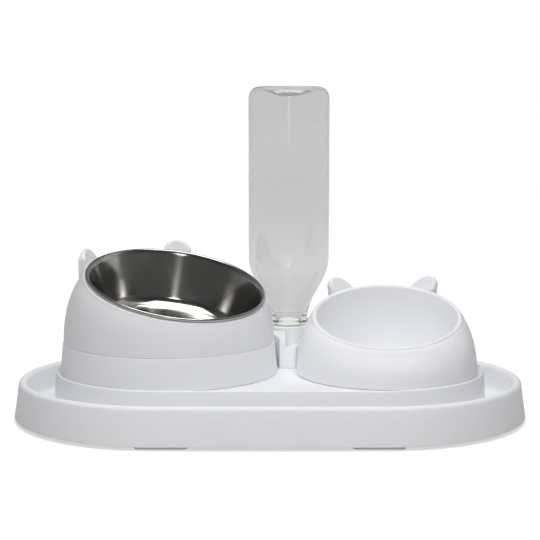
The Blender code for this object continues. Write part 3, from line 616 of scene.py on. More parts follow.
def polished_steel(name, colour, shade, roughness, centre, turn):
    """Spun stainless steel: faint turning lines round the bowl's own axis and soft smears of polish."""
    material, tree, shader = new_material(name)
    mapping = tree.nodes.new("ShaderNodeMapping")
    mapping.vector_type = "TEXTURE"
    mapping.inputs["Location"].default_value = centre
    mapping.inputs["Rotation"].default_value = turn
    tree.links.new(object_place(tree), mapping.inputs["Vector"])
    place = mapping.outputs["Vector"]
    from_axis = length_of(tree, flat_place(tree, share_of(tree, place, "X"), share_of(tree, place, "Y")))
    profile = flat_place(tree, from_axis, share_of(tree, place, "Z"))
    lines = noise(tree, profile, TURNING_LINES, DETAIL_FINE)
    smears = noise(tree, place, POLISH_SMEARS, DETAIL_MIDDLE)
    tree.links.new(mixed(tree, smears, shade, colour), shader.inputs["Base Color"])
    shader.inputs["Metallic"].default_value = 1.0
    set_gloss(tree, shader, smears, roughness, STEEL_GLOSS)
    tree.links.new(relief(tree, lines, SCRATCH_DEPTH, RELIEF_FINE), shader.inputs["Normal"])
    return material


def clear_plastic(name, colour, edge, roughness):
    """Blown clear plastic with a slightly uneven wall, and a painted shade that darkens it where it is looked
    at along the wall.
    """
    material, tree, shader = new_material(name)
    place = object_place(tree)
    # Painted shade: the colour turns to the edge colour where the wall is seen edge-on, along the outline
    grazing = tree.nodes.new("ShaderNodeLayerWeight")
    grazing.inputs["Blend"].default_value = GRAZING_BLEND
    along = ranged(tree, grazing.outputs["Facing"], GRAZING_START, GRAZING_END)
    tree.links.new(mixed(tree, along, colour, edge), shader.inputs["Base Color"])
    shader.inputs["Transmission Weight"].default_value = 1.0
    shader.inputs["IOR"].default_value = CLEAR_IOR
    set_gloss(tree, shader, noise(tree, place, HAZE_PATCHES), roughness, CLEAR_GLOSS)
    waves = relief(tree, noise(tree, place, BLOWN_WAVES), BLOWN_DEPTH, RELIEF_FAINT)
    tree.links.new(waves, shader.inputs["Normal"])
    return material


def soft_rubber(name, colour, shade, roughness, grain, depth):
    """Matt rubber or silicone with a fine grain."""
    material, tree, shader = new_material(name)
    place = object_place(tree)
    patches = noise(tree, place, RUBBER_PATCHES, DETAIL_FINE)
    tree.links.new(mixed(tree, patches, shade, colour), shader.inputs["Base Color"])
    fine = noise(tree, place, grain, DETAIL_MIDDLE)
    set_gloss(tree, shader, fine, roughness, RUBBER_GLOSS)
    tree.links.new(relief(tree, fine, depth, RELIEF_CLEAR), shader.inputs["Normal"])
    return material


def drawn_wire(name, colour, shade, roughness):
    """Bright drawn wire with fine scratches."""
    material, tree, shader = new_material(name)
    place = object_place(tree)
    marks = noise(tree, place, WIRE_SCRATCHES, DETAIL_FINE)
    tree.links.new(mixed(tree, marks, shade, colour), shader.inputs["Base Color"])
    shader.inputs["Metallic"].default_value = 1.0
    set_gloss(tree, shader, marks, roughness, WIRE_GLOSS)
    tree.links.new(relief(tree, marks, SCRATCH_DEPTH, RELIEF_FINE), shader.inputs["Normal"])
    return material


# The edge colours of the moulded plastics are painted highlights on their outer edges
WHITE = moulded_plastic(
    "white_plastic", colour=(0.912, 0.919, 0.953), shade=(0.897, 0.904, 0.938), edge=(0.945, 0.95, 0.975),
    roughness=0.44, specular=0.3, milkiness=0.4,
)
CREAM = moulded_plastic(
    "cap_plastic", colour=(0.87, 0.895, 0.875), shade=(0.84, 0.865, 0.845), edge=(0.91, 0.93, 0.91),
    roughness=0.38,
)
STEEL = polished_steel(
    "stainless_steel", colour=(0.56, 0.55, 0.53), shade=(0.48, 0.47, 0.45), roughness=0.14,
    centre=steel_frame.translation, turn=(FOOD_TILT, 0.0, FOOD_TURN),
)
# The bottle's edge colour is a painted shade along its outline
CLEAR = clear_plastic("bottle_plastic", colour=(0.75, 0.75, 0.75), edge=(0.4, 0.4, 0.4), roughness=0.02)
RUBBER = soft_rubber(
    "pad_rubber", colour=(0.88, 0.885, 0.9), shade=(0.83, 0.835, 0.85), roughness=0.72, grain=700.0,
    depth=0.0001,
)
SILICONE = soft_rubber(
    "seal_silicone", colour=(0.78, 0.78, 0.76), shade=(0.70, 0.70, 0.68), roughness=0.5, grain=900.0,
    depth=0.00005,
)
SPRING_STEEL = drawn_wire(
    "spring_steel", colour=(0.58, 0.58, 0.59), shade=(0.42, 0.42, 0.43), roughness=0.28,
)


# Pieces

def make_tray():
    """Deck with a lip, moat, rounded rim and flared skirt; one end is turned, drawn out and mirrored."""
    skirt_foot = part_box("base_tray")[1].y
    half_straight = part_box("base_tray")[1].x - skirt_foot
    rim_outer = skirt_foot - SKIRT_FLARE
    rim_inner = rim_outer - 2 * RIM_ROUND
    deck_radius = rim_outer - RIM_ROUND - MOAT_WIDTH
    deck_inner = deck_radius - LIP_WIDTH
    wall_foot = deck_radius + LIP_HEIGHT
    moat_outer = rim_inner - TRAY_WALL
    lip_top = DECK_HEIGHT + LIP_HEIGHT
    hollow_top = RIM_HEIGHT - RIM_ROUND - TRAY_WALL
    moat_under = MOAT_FLOOR - TRAY_WALL
    under_fillet = MOAT_FILLET + TRAY_WALL
    deck_under = DECK_HEIGHT - TRAY_WALL
    lip_round = LIP_WIDTH / 2 * RING_ROUND_SHARE
    rim_round = RIM_ROUND * RIM_ROUND_SHARE
    bm = bmesh.new()
    draw_line(bm, [
        (0.0, DECK_HEIGHT, 0.0),
        (deck_inner, DECK_HEIGHT, CRISP_EDGE),
        (deck_inner, lip_top, lip_round),
        (deck_radius, lip_top, lip_round),
        (wall_foot, MOAT_FLOOR, MOAT_FILLET),
        (moat_outer, MOAT_FLOOR, MOAT_FILLET),
        (rim_inner, RIM_HEIGHT, rim_round),
        (rim_outer, RIM_HEIGHT, rim_round),
        (skirt_foot, skirt_bottom, CRISP_EDGE),
        (skirt_foot - TRAY_WALL, skirt_bottom, CRISP_EDGE),
        (rim_outer - TRAY_WALL, hollow_top, CRISP_EDGE),
        (rim_inner + TRAY_WALL, hollow_top, CRISP_EDGE),
        (moat_outer + TRAY_WALL, moat_under, under_fillet),
        (wall_foot - TRAY_WALL, moat_under, under_fillet),
        (deck_radius - TRAY_WALL, deck_under, SOFT_EDGE),
        (0.0, deck_under, 0.0),
    ])
    end = Vector((half_straight, 0.0, 0.0))
    quarter_back = Matrix.Translation(end) @ Matrix.Rotation(-pi / 2, 4, "Z")
    move_to(bm, quarter_back)
    bmesh.ops.spin(
        bm, geom=bm.verts[:] + bm.edges[:], cent=end, axis=(0, 0, 1), dvec=(0, 0, 0), angle=pi,
        steps=TURN_LARGE // 2, use_merge=False, use_duplicate=False,
    )
    weld(bm)
    moat_middle = (wall_foot + moat_outer) / 2
    deck_end = [vert for vert in bm.verts if (vert.co - end).xy.length < moat_middle]
    bmesh.ops.translate(bm, vec=(-END_MOAT_EXTRA, 0.0, 0.0), verts=deck_end)
    open_edges = [edge for edge in bm.edges if edge.is_boundary]
    grown = bmesh.ops.extrude_edge_only(bm, edges=open_edges)["geom"]
    bmesh.ops.scale(bm, vec=(0.0, 1.0, 1.0), verts=verts_of(grown))
    bmesh.ops.mirror(bm, geom=bm.verts[:] + bm.edges[:] + bm.faces[:], merge_dist=WELD, axis="X")
    weld(bm)

    def spigot(wall_radius, place):
        outer = wall_radius - SPIGOT_CLEARANCE
        inner = outer - SPIGOT_WALL
        low = DECK_HEIGHT - TRAY_WALL / 2
        high = DECK_HEIGHT + SPIGOT_HEIGHT
        section = [(inner, high, CRISP_EDGE), (outer, high, CRISP_EDGE), (outer, low, 0.0), (inner, low, 0.0)]
        return spun(section, TURN_LARGE, True, Matrix.Translation(place))

    bosses = []
    for pad_place in PAD_PLACES:
        low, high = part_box(f"anti_slip_pad_{pad_place}")
        size = high - low + Vector((2, 2, 0)) * PAD_BOSS_MARGIN
        boss_low = skirt_bottom + TOUCH
        size.z = MOAT_FLOOR - TRAY_WALL / 2 - boss_low
        centre = (low + high) / 2
        centre.z = boss_low + size.z / 2
        bosses.append(block(size, centre))
    bm = joined(
        bm, spigot(STAND_FOOT_RADIUS - STAND_WALL, stand_place),
        spigot(WATER_FOOT_RADIUS - WATER_WALL, water_place), *bosses,
    )
    add_piece("moulded_tray", bm, WHITE, "white_plastic", "base", "base_tray")


def make_pads():
    """Rounded strips under the tray."""
    for pad_place in PAD_PLACES:
        node = f"anti_slip_pad_{pad_place}"
        low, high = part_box(node)
        bm = block(high - low, (low + high) / 2)
        corners = [edge for edge in bm.edges if is_upright(edge)]
        round_edges(bm, corners, (high.y - low.y) * PAD_CORNER_SHARE)
        soften(bm, CRISP_EDGE)
        add_piece(f"pad_{pad_place}", bm, RUBBER, "pad_rubber", "base", node)


def ear(rim_centre, rim_radius, inner_radius, tilt, side, height, lean, place):
    """A leaning dome with soft edges on the high side of a rim: upright behind, sloping back in front."""
    angle = side * EAR_ANGLE - EAR_TURN
    outward = Vector((sin(angle), cos(angle), 0.0))
    along = Vector((cos(angle), -sin(angle), 0.0))
    foot = Vector((rim_centre.x, rim_centre.y, rim_centre.z + rim_radius * cos(angle) * sin(tilt)))
    foot += outward * inner_radius
    outline = [(EAR_HALF_WIDTH, -EAR_ROOT)]
    for i in range(EAR_STEPS + 1):
        turn = pi * i / EAR_STEPS
        across = EAR_HALF_WIDTH * copysign(abs(cos(turn)) ** EAR_POINT, cos(turn))
        outline.append((across + side * lean * sin(turn), height * sin(turn)))
    outline.append((-EAR_HALF_WIDTH, -EAR_ROOT))
    bm = bmesh.new()
    back = bm.faces.new([bm.verts.new((across, EAR_BASE_THICKNESS, rise)) for across, rise in outline])
    grown = bmesh.ops.extrude_face_region(bm, geom=[back], use_keep_orig=True)["geom"]
    front = verts_of(grown)
    bmesh.ops.translate(bm, vec=(0.0, -EAR_BASE_THICKNESS, 0.0), verts=front)
    sloped = Matrix.Identity(4)
    sloped[1][2] = (EAR_BASE_THICKNESS - EAR_TIP_THICKNESS) / height
    bmesh.ops.transform(bm, matrix=sloped, verts=[vert for vert in front if vert.co.z > 0.0])
    weld(bm)
    front_edges = [edge for edge in bm.edges if all(vert in front for vert in edge.verts)]
    round_edges(bm, front_edges, EAR_FRONT_EDGE, SOFT_STEPS, True)
    soften(bm, EAR_BACK_EDGE, EAR_BACK_SHARPNESS)
    stood = Matrix((along, outward, Vector((0, 0, 1)))).transposed().to_4x4()
    stood.translation = foot
    move_to(bm, place @ stood)
    return bm


def make_stand():
    """Ring below the seam with a collar inside the shell, and the slanted shell with its ears."""
    seam_inner = seam_radius - STAND_WALL
    collar = seam_inner - COLLAR_CLEARANCE
    collar_top = seam_height + STAND_COLLAR_HEIGHT
    ring = spun([
        (collar - STAND_WALL, collar_top, CRISP_EDGE),
        (collar, collar_top, CRISP_EDGE),
        (collar, seam_height, FINE_EDGE),
        (seam_radius, seam_height, SOFT_EDGE),
        (STAND_FOOT_RADIUS, deck_seat, CRISP_EDGE),
        (STAND_FOOT_RADIUS - STAND_WALL, deck_seat, CRISP_EDGE),
        (seam_inner, seam_height - STAND_COLLAR_HEIGHT, SOFT_EDGE),
        (collar - STAND_WALL, seam_height - STAND_WALL, SOFT_EDGE),
    ], TURN_LARGE, True, stand_frame)
    add_piece("stand_lower_ring", ring, WHITE, "white_plastic", "stand_ring", "food_stand_ring")

    foot = Vector((0.0, 0.0, seam_height + FINE_EDGE))
    foot_radius = seam_radius - STAND_SEAM_LEDGE
    rim_outer = STEEL_RIM_RADIUS + SHELL_RIM_MARGIN
    opening = STEEL_RIM_RADIUS - STEEL_BODY_INSET + SHELL_OPENING_CLEARANCE
    seat = -STEEL_RIM_BEAD - TOUCH
    edge = seat - SHELL_RIM_MARGIN
    under = seat - SHELL_RIM_THICKNESS

    def rim(radius, lift):
        return ring_place(radius, food_rim_centre, FOOD_TILT, lift)

    start = ring_place(foot_radius - FINE_EDGE, foot)
    foot_edge = ring_place(foot_radius, foot + Vector((0, 0, FINE_EDGE)))
    places = [start]
    places += full_wall(foot_edge, rim(rim_outer, edge), WALL_STEPS)
    places += [
        rim(rim_outer - SHELL_RIM_MARGIN * inward, edge + SHELL_RIM_MARGIN * upward)
        for inward, upward in SHELL_RIM_CURVE
    ]
    places += [
        rim(opening + FINE_EDGE, seat),
        rim(opening, seat - FINE_EDGE),
        rim(opening, under + FINE_EDGE),
        rim(opening + FINE_EDGE, under),
    ]
    inner_top = rim(rim_outer - STAND_WALL, under - SHELL_RIM_MARGIN)
    places += full_wall(ring_place(seam_inner, foot), inner_top, HIDDEN_STEPS)[::-1]
    places.append(start)
    shell = wall_of_rings(places, False)
    move_to(shell, stand_frame)
    ears = [
        ear(
            food_rim_centre, rim_outer, STEEL_RIM_RADIUS + EAR_CLEARANCE, FOOD_TILT, side,
            FOOD_EAR_HEIGHT, FOOD_EAR_LEAN, stand_frame,
        )
        for side in (-1, 1)
    ]
    shell = joined(shell, *ears)
    add_piece("stand_upper_shell", shell, WHITE, "white_plastic", "stand_shell", "food_stand_shell")


def make_steel_bowl():
    """Spun bowl with a rounded corner, a narrow flange and a rolled rim."""
    wall_top = STEEL_RIM_RADIUS - STEEL_BODY_INSET
    bead = STEEL_RIM_BEAD
    bead_round = bead * RIM_ROUND_SHARE
    bead_inner = STEEL_RIM_RADIUS - 2 * bead
    slope = tan(STEEL_TAPER)
    corner_reach = tan((pi / 2 - STEEL_TAPER) / 2)
    floor = -STEEL_DEPTH
    corner = wall_top - STEEL_DEPTH * slope
    inner_shift = STEEL_WALL / cos(STEEL_TAPER) - STEEL_WALL * slope
    bowl = spun([
        (0.0, floor + STEEL_WALL, 0.0),
        (corner - inner_shift, floor + STEEL_WALL, (STEEL_CORNER - STEEL_WALL) * corner_reach),
        (wall_top - STEEL_WALL, -bead, bead * STEEL_LIP_ROUND),
        (bead_inner + bead * STEEL_BEAD_TOP, bead, bead * STEEL_BEAD_TOP_ROUND),
        (STEEL_RIM_RADIUS, bead, bead_round),
        (STEEL_RIM_RADIUS, -bead, bead_round),
        (bead_inner + bead * STEEL_CURL, -bead, bead * STEEL_CURL_ROUND),
        (bead_inner, -bead * STEEL_CURL_END, FINE_EDGE),
        (wall_top + STEEL_WALL / 2, -bead, FINE_EDGE),
        (wall_top, -2 * bead, FINE_EDGE),
        (corner, floor, STEEL_CORNER * corner_reach),
        (0.0, floor, 0.0),
    ], TURN_LARGE, False, steel_frame)
    add_piece("food_bowl_steel", bowl, STEEL, "stainless_steel", "food_bowl", "steel_bowl")


def spout_line():
    """Start, direction and length of the spout's line, from the bottle's axis to the water bowl's."""
    height = Vector((0.0, 0.0, seat_floor + SPOUT_RISE))
    start = bottle_place + height
    line = water_place + height - start
    return start, line.normalized(), line.length


def along_spout(radius, first, last):
    start, direction, _ = spout_line()
    return rod(radius, start + direction * first, start + direction * last)


def make_water_bowl():
    """Double wall with a slanted mouth, two ears and a hole for the spout's sleeve."""
    floor = Vector((0.0, 0.0, DECK_HEIGHT + WATER_FLOOR_RISE))
    floor_under = floor - Vector((0.0, 0.0, WATER_WALL))
    foot = Vector((0.0, 0.0, deck_seat))
    shoulder = Vector((0.0, 0.0, deck_seat + CRISP_EDGE))
    dish_bend = WATER_MOUTH_RADIUS - WATER_RIM_WIDTH / 2
    soft = WATER_RIM_ROUND

    def rim(radius, lift):
        return ring_place(radius, water_rim_centre, WATER_TILT, lift)

    places = curved_rings(
        ring_place(WATER_FLOOR_RADIUS, floor), ring_place(dish_bend, floor),
        rim(WATER_MOUTH_RADIUS, -soft), WALL_STEPS,
    )
    places += [rim(WATER_MOUTH_RADIUS + soft * inward, -soft * down) for inward, down in WATER_RIM_CURVE]
    places += [rim(water_rim_radius - soft * inward, -soft * down) for inward, down in WATER_RIM_CURVE[::-1]]
    outside = full_wall(ring_place(WATER_FOOT_RADIUS, shoulder), rim(water_rim_radius, -soft), WALL_STEPS)
    places += outside[::-1]
    places += [
        ring_place(WATER_FOOT_RADIUS - CRISP_EDGE, foot),
        ring_place(WATER_FOOT_RADIUS - WATER_WALL + CRISP_EDGE, foot),
    ]
    below_rim = outside[:-WATER_RINGS_ABOVE_HOLLOW]
    places += [drawn_in(place, WATER_FOOT_RADIUS, WATER_WALL) for place in below_rim]
    hollow_top = drawn_in(below_rim[-1], WATER_FOOT_RADIUS, WATER_WALL + soft)
    places += curved_rings(
        hollow_top, ring_place(dish_bend + WATER_WALL, floor_under),
        ring_place(WATER_FLOOR_RADIUS, floor_under), HIDDEN_STEPS,
    )
    bowl = wall_of_rings(places, True)
    move_to(bowl, water_frame)
    ears = [
        ear(
            water_rim_centre, water_rim_radius, WATER_MOUTH_RADIUS + EAR_CLEARANCE, WATER_TILT, side,
            WATER_EAR_HEIGHT, WATER_EAR_LEAN, water_frame,
        )
        for side in (-1, 1)
    ]
    spout_end = spout_line()[2] - SPOUT_REACH
    hole_radius = SPOUT_RADIUS + GROMMET_WALL + 2 * TOUCH
    bowl = cut(joined(bowl, *ears), along_spout(hole_radius, seat_back_radius, spout_end + GROMMET_WALL))
    add_piece("drinking_bowl", bowl, WHITE, "white_plastic", "water_unit", "water_bowl")


def housing(inset, low, high):
    """The seat's block: round behind the socket and drawn in between the bowls, moved in by the inset."""
    back = seat_back_radius - inset
    half = SEAT_FRONT_HALF_WIDTH - inset
    front = SEAT_LENGTH - inset
    bm = bmesh.new()
    first = bm.verts.new((back * cos(-SEAT_BACK_WRAP), back * sin(-SEAT_BACK_WRAP), low))
    bmesh.ops.spin(
        bm, geom=[first], cent=(0, 0, 0), axis=(0, 0, 1), dvec=(0, 0, 0), angle=pi + 2 * SEAT_BACK_WRAP,
        steps=TURN_MIDDLE // 2, use_merge=False, use_duplicate=False,
    )
    ends = [vert for vert in bm.verts if len(vert.link_edges) == 1]
    ends.sort(key=lambda vert: vert.co.x)
    corners = [bm.verts.new((side * half, -front, low)) for side in (-1, 1)]
    for first, second in ((ends[0], corners[0]), (corners[0], corners[1]), (corners[1], ends[1])):
        bm.edges.new((first, second))
    face = bmesh.ops.edgeloop_fill(bm, edges=bm.edges)["faces"]
    grown = bmesh.ops.extrude_face_region(bm, geom=face, use_keep_orig=True)["geom"]
    bmesh.ops.translate(bm, vec=(0.0, 0.0, high - low), verts=verts_of(grown))
    weld(bm)
    move_to(bm, bottle_frame)
    rooms = [
        upright(place, radius + SEAT_BOWL_GAP + inset, low - CUT_PAST, high + CUT_PAST, 2 * TURN_LARGE)
        for place, radius in ((stand_place, STAND_FOOT_RADIUS), (water_place, WATER_FOOT_RADIUS))
    ]
    bm = cut(bm, *rooms)
    if not inset:
        front_line = bottle_place.y - front
        corners = [
            edge for edge in bm.edges
            if is_upright(edge) and all(abs(vert.co.y - front_line) < WELD for vert in edge.verts)
        ]
        round_edges(bm, corners, SEAT_FRONT_CORNER, SOFT_STEPS)
    return bm


def make_seat():
    """Housing with a socket for the cap, a post that opens the valve, and a spout to the water bowl."""
    top = deck_seat + SEAT_HEIGHT
    ledge = cap_bottom - TOUCH
    well_radius = socket_radius - SEAT_LEDGE_WIDTH
    notch_x = bottle_place.x - SEAT_NOTCH_SHIFT
    notch_length = SEAT_LENGTH + CUT_PAST
    notch = block(
        (SEAT_LENGTH, notch_length, SEAT_NOTCH_DEPTH * 2),
        (notch_x + SEAT_LENGTH / 2, bottle_place.y - notch_length / 2, top),
    )
    pocket_floor = ledge - SEAT_WALL / 2
    pocket_back = bottle_place.y - socket_radius * SEAT_POCKET_REACH
    pocket_side = notch_x + TOUCH * 2
    span = SEAT_LENGTH * CUT_SPAN
    notch_room = block(
        (SEAT_LENGTH, SEAT_LENGTH, (top - pocket_floor + SEAT_WALL) * 2),
        (notch_x + SEAT_LENGTH / 2 - SEAT_WALL, bottle_place.y - (socket_radius + SEAT_LENGTH) / 2, top),
    )
    pocket = cut(
        housing(SEAT_WALL, pocket_floor, top + CUT_PAST),
        block((SEAT_LENGTH, span, top), (pocket_side - SEAT_LENGTH / 2, bottle_place.y, top)),
        block((span, SEAT_LENGTH, top), (bottle_place.x, pocket_back + SEAT_LENGTH / 2, top)),
    )
    hollow = cut(
        housing(SEAT_WALL, deck_seat - CUT_PAST, top - SEAT_WALL),
        upright(bottle_place, seat_back_radius, deck_seat - 2 * CUT_PAST, top), notch_room,
    )
    spout_end = spout_line()[2] - SPOUT_REACH
    seat = cut(
        housing(0.0, deck_seat, top), hollow, notch, pocket,
        upright(bottle_place, socket_radius, ledge, top + CUT_PAST),
        upright(bottle_place, well_radius, seat_floor, top),
    )
    seat = joined(
        seat, upright(bottle_place, SEAT_POST_RADIUS, seat_floor - SEAT_FLOOR / 2, ledge, TURN_SMALL),
        along_spout(SPOUT_RADIUS, socket_radius + SEAT_WALL / 2, spout_end),
    )
    seat = cut(seat, along_spout(SPOUT_RADIUS - SPOUT_WALL, well_radius - CUT_PAST, spout_end + CUT_PAST))
    weld(seat)
    soften(seat, SEAT_EDGE)
    add_piece("bottle_holder", seat, WHITE, "white_plastic", "water_unit", "bottle_seat")


def make_sleeve():
    """Soft sleeve round the spout's end, with a rounded lip at each end."""
    start, direction, length = spout_line()
    last = length - SPOUT_REACH
    first = last - GROMMET_LENGTH
    inner = SPOUT_RADIUS + TOUCH
    outer = inner + GROMMET_WALL
    turn = direction.to_track_quat("Z", "Y").to_matrix().to_4x4()
    place = Matrix.Translation(start) @ turn
    sleeve = washer(inner, outer, first, last, TURN_SMALL, place, 2 * FINE_EDGE)
    add_piece("spout_sleeve", sleeve, SILICONE, "seal_silicone", "water_unit", "inlet_grommet")


def shoulder_line(inset, steps=WALL_STEPS):
    """The shoulder's S-curve from the body down to the neck, moved in by the wall."""
    low = support_ring_height + SUPPORT_RING_THICKNESS
    points = []
    for i in range(steps + 1):
        t = 1.0 - i / steps
        share = (1 - cos(pi * t)) / 2
        radius = SHOULDER_NECK_RADIUS + (BOTTLE_RADIUS - SHOULDER_NECK_RADIUS) * share
        points.append((radius - inset, low + SHOULDER_LENGTH * t, 0.0))
    return points


def base_line(inset, steps=8):
    """The pushed-up base and the heel, moved in by the wall."""
    push_up_radius = BOTTLE_RADIUS - BOTTLE_HEEL - BASE_RING_WIDTH
    points = []
    for i in range(steps + 1):
        share = i / steps
        points.append((push_up_radius * share, bottle_top - PUSH_UP_DEPTH * (1 - share**2) - inset, 0.0))
    return points + [(BOTTLE_RADIUS - inset, bottle_top - inset, BOTTLE_HEEL - inset)]


def make_bottle():
    """Upside down: pushed-up base above, shoulder, support ring and threaded neck below."""
    ring_top = support_ring_height + SUPPORT_RING_THICKNESS
    ring_radius = SHOULDER_NECK_RADIUS + SUPPORT_RING_WIDTH
    ring_round = SUPPORT_RING_WIDTH * RING_ROUND_SHARE
    outside = base_line(0.0) + shoulder_line(0.0)
    outside += [
        (ring_radius, ring_top, ring_round),
        (ring_radius, support_ring_height, ring_round),
        (NECK_RADIUS, support_ring_height, CRISP_EDGE),
        (NECK_RADIUS, mouth_height, CRISP_EDGE),
        (neck_bore, mouth_height, CRISP_EDGE),
        (neck_bore, support_ring_height, SOFT_EDGE),
    ]
    inside = [point for point in shoulder_line(BOTTLE_WALL) if point[1] > ring_top + NECK_FLARE]
    bottle = spun(outside + inside[::-1] + base_line(BOTTLE_WALL)[::-1], TURN_LARGE)
    # The middle of the thread lies just inside the neck's wall, so that the two join cleanly
    thread_path = NECK_RADIUS - FINE_EDGE / 2
    thread = coil(thread_path, neck_thread_bottom, THREAD_PITCH, THREAD_TURNS, THREAD_RADIUS, TURN_MIDDLE)
    bottle = joined(bottle, thread)
    move_to(bottle, bottle_frame)
    piece = add_piece("clear_bottle", bottle, CLEAR, "bottle_plastic", "bottle", "water_bottle")
    # Light passes through the thin clear wall
    piece.visible_shadow = False


def make_cap():
    """Screw cap with an inner thread and a hole for the valve, and the washer below the bottle's mouth."""
    cap = spun([
        (cap_inner_radius, cap_top, CRISP_EDGE),
        (cap_radius, cap_top, SOFT_EDGE),
        (cap_radius, cap_bottom, CAP_CHAMFER),
        (VALVE_HOLE_RADIUS, cap_bottom, FINE_EDGE),
        (VALVE_HOLE_RADIUS, cap_plate_top, FINE_EDGE),
        (cap_inner_radius, cap_plate_top, FINE_EDGE),
    ], TURN_MIDDLE, True)
    thread_bottom = neck_thread_bottom + THREAD_PITCH / 2
    thread = coil(cap_inner_radius, thread_bottom, THREAD_PITCH, THREAD_TURNS, THREAD_RADIUS, TURN_MIDDLE)
    cap = joined(cap, thread)
    move_to(cap, bottle_frame)
    add_piece("screw_cap", cap, CREAM, "cap_plastic", "cap", "bottle_cap")

    low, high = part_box("cap_gasket")
    outer = (high.x - low.x) / 2
    gasket = washer(neck_bore, outer, low.z, high.z, TURN_MIDDLE, bottle_frame)
    add_piece("cap_washer", gasket, SILICONE, "seal_silicone", "gasket", "cap_gasket")


def make_valve():
    """Plunger with its seal, the spring above its head and the windowed holder round the spring."""
    stem_low, stem_high = (corner.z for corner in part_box("valve_stem"))
    seal_low, seal_high = (corner.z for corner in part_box("valve_seal"))
    head_low = seal_high + TOUCH
    head_high = head_low + HEAD_THICKNESS
    plunger = spun([
        (0.0, stem_high, 0.0),
        (STEM_GUIDE_RADIUS, stem_high, CRISP_EDGE),
        (STEM_GUIDE_RADIUS, head_high, FINE_EDGE),
        (HEAD_RADIUS, head_high, CRISP_EDGE),
        (HEAD_RADIUS, head_low, FINE_EDGE),
        (STEM_RADIUS, head_low, FINE_EDGE),
        (STEM_RADIUS, stem_low, CRISP_EDGE),
        (0.0, stem_low, 0.0),
    ], TURN_SMALL, False, bottle_frame)
    add_piece("plunger", plunger, CREAM, "cap_plastic", "valve", "valve_stem")
    seal = washer(STEM_RADIUS + TOUCH, HEAD_RADIUS, seal_low, seal_high, TURN_SMALL, bottle_frame)
    add_piece("plunger_seal", seal, SILICONE, "seal_silicone", "valve", "valve_seal")

    spring_low, spring_high = (corner.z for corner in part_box("valve_spring"))
    wire_radius = SPRING_WIRE / 2
    pitch = (spring_high - spring_low - SPRING_WIRE) / SPRING_TURNS
    spring = coil(SPRING_RADIUS, spring_low + wire_radius, pitch, SPRING_TURNS, wire_radius, TURN_SMALL)
    move_to(spring, bottle_frame)
    piece = add_piece("plunger_spring", spring, SPRING_STEEL, "spring_steel", None, "valve_spring")
    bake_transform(piece)

    cage_low, cage_high = (corner.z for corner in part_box("spring_cage"))
    cage_radius = neck_bore - CAGE_CLEARANCE
    ceiling = cage_high - CAGE_WALL
    guide_hole = STEM_GUIDE_RADIUS + TOUCH
    cage = spun([
        (guide_hole, cage_high, FINE_EDGE),
        (cage_radius, cage_high, CRISP_EDGE),
        (cage_radius, cage_low, FINE_EDGE),
        (cage_radius - CAGE_WALL, cage_low, FINE_EDGE),
        (cage_radius - CAGE_WALL, ceiling, CRISP_EDGE),
        (guide_hole, ceiling, FINE_EDGE),
    ], TURN_MIDDLE, True, bottle_frame)
    window_low = cage_low + 2 * CAGE_WALL
    window_high = ceiling - 2 * CAGE_WALL
    centre = bottle_place + Vector((0, 0, (window_low + window_high) / 2))
    across = cage_radius * CUT_SPAN
    tall = window_high - window_low
    cage = cut(cage, block((across, CAGE_WINDOW, tall), centre), block((CAGE_WINDOW, across, tall), centre))
    weld(cage)
    add_piece("spring_holder", cage, CREAM, "cap_plastic", "cap", "spring_cage")


make_tray()
make_pads()
make_stand()
make_steel_bowl()
make_water_bowl()
make_seat()
make_sleeve()
make_bottle()
make_cap()
make_valve()


# Stage: floor, light and camera

# Floor: its half width, its colour, and its glow near the object, around it and far off, with the distances
FLOOR_REACH = 6.0
FLOOR_COLOUR = (0.7, 0.7, 0.7, 1.0)
FLOOR_ROUGHNESS = 0.9
FLOOR_GLOW_NEAR = 0.56
FLOOR_GLOW_MIDDLE = 0.79
FLOOR_GLOW_FAR = 0.88
GLOW_START = 0.40
GLOW_MIDDLE = 1.0
GLOW_END = 4.0
BEHIND_START = -0.5
BEHIND_END = 0.3

# Room: colour, brightness for gloss in front, behind and (as a share) above, and light for matt surfaces
WHITE_LIGHT = (1.0, 1.0, 1.0, 1.0)
ROOM_FRONT = 0.10
ROOM_BACK = 0.35
ROOM_TURN = 0.5
CEILING = 0.45
CEILING_START = 0.15
CEILING_END = 0.7
AMBIENT = 0.20

# Lamps: place, aim, size, power in watts, and whether gloss and clear plastic show them
LAMPS = {
    "overhead": ((0.0, -0.14, 1.45), (0.0, 0.0, 0.05), (1.2, 0.7), 13.8, True),
    "front_fill": ((0.0, -0.75, 0.2), (0.0, 0.0, 0.06), (0.3, 0.3), 0.9, False),
    "front_strip": ((0.0, -1.1, 0.55), (0.0, 0.0, 0.08), (0.14, 0.6), 0.3, True),
    "front_key": ((0.06, -1.2, 0.8), (0.0, 0.0, 0.1), (0.3, 0.12), 0.6, True),
}

# How often light goes on through clear plastic, and between white walls
CLEAR_BOUNCES = 24
WHITE_BOUNCES = 8

# Camera: sensor and lens in millimetres, and how it looks down at the object
CAMERA_SENSOR = 36.0
CAMERA_LENS = 108.58
CAMERA_DISTANCE = 1.3
CAMERA_DOWN = radians(7.529)
CAMERA_TARGET = Vector((0.0, 0.0, 0.11875))


def worked(tree, operation, *values):
    """Values put together by a sum, a product and the like; each is a number or a socket."""
    node = tree.nodes.new("ShaderNodeMath")
    node.operation = operation
    for socket, value in zip(node.inputs, values):
        if isinstance(value, float):
            socket.default_value = value
        else:
            tree.links.new(value, socket)
    return node.outputs["Value"]


def eased(tree, value, start, end, low, high):
    """A soft change from low to high while a value goes from start to end."""
    return ranged(tree, value, start, end, low, high, "SMOOTHSTEP")


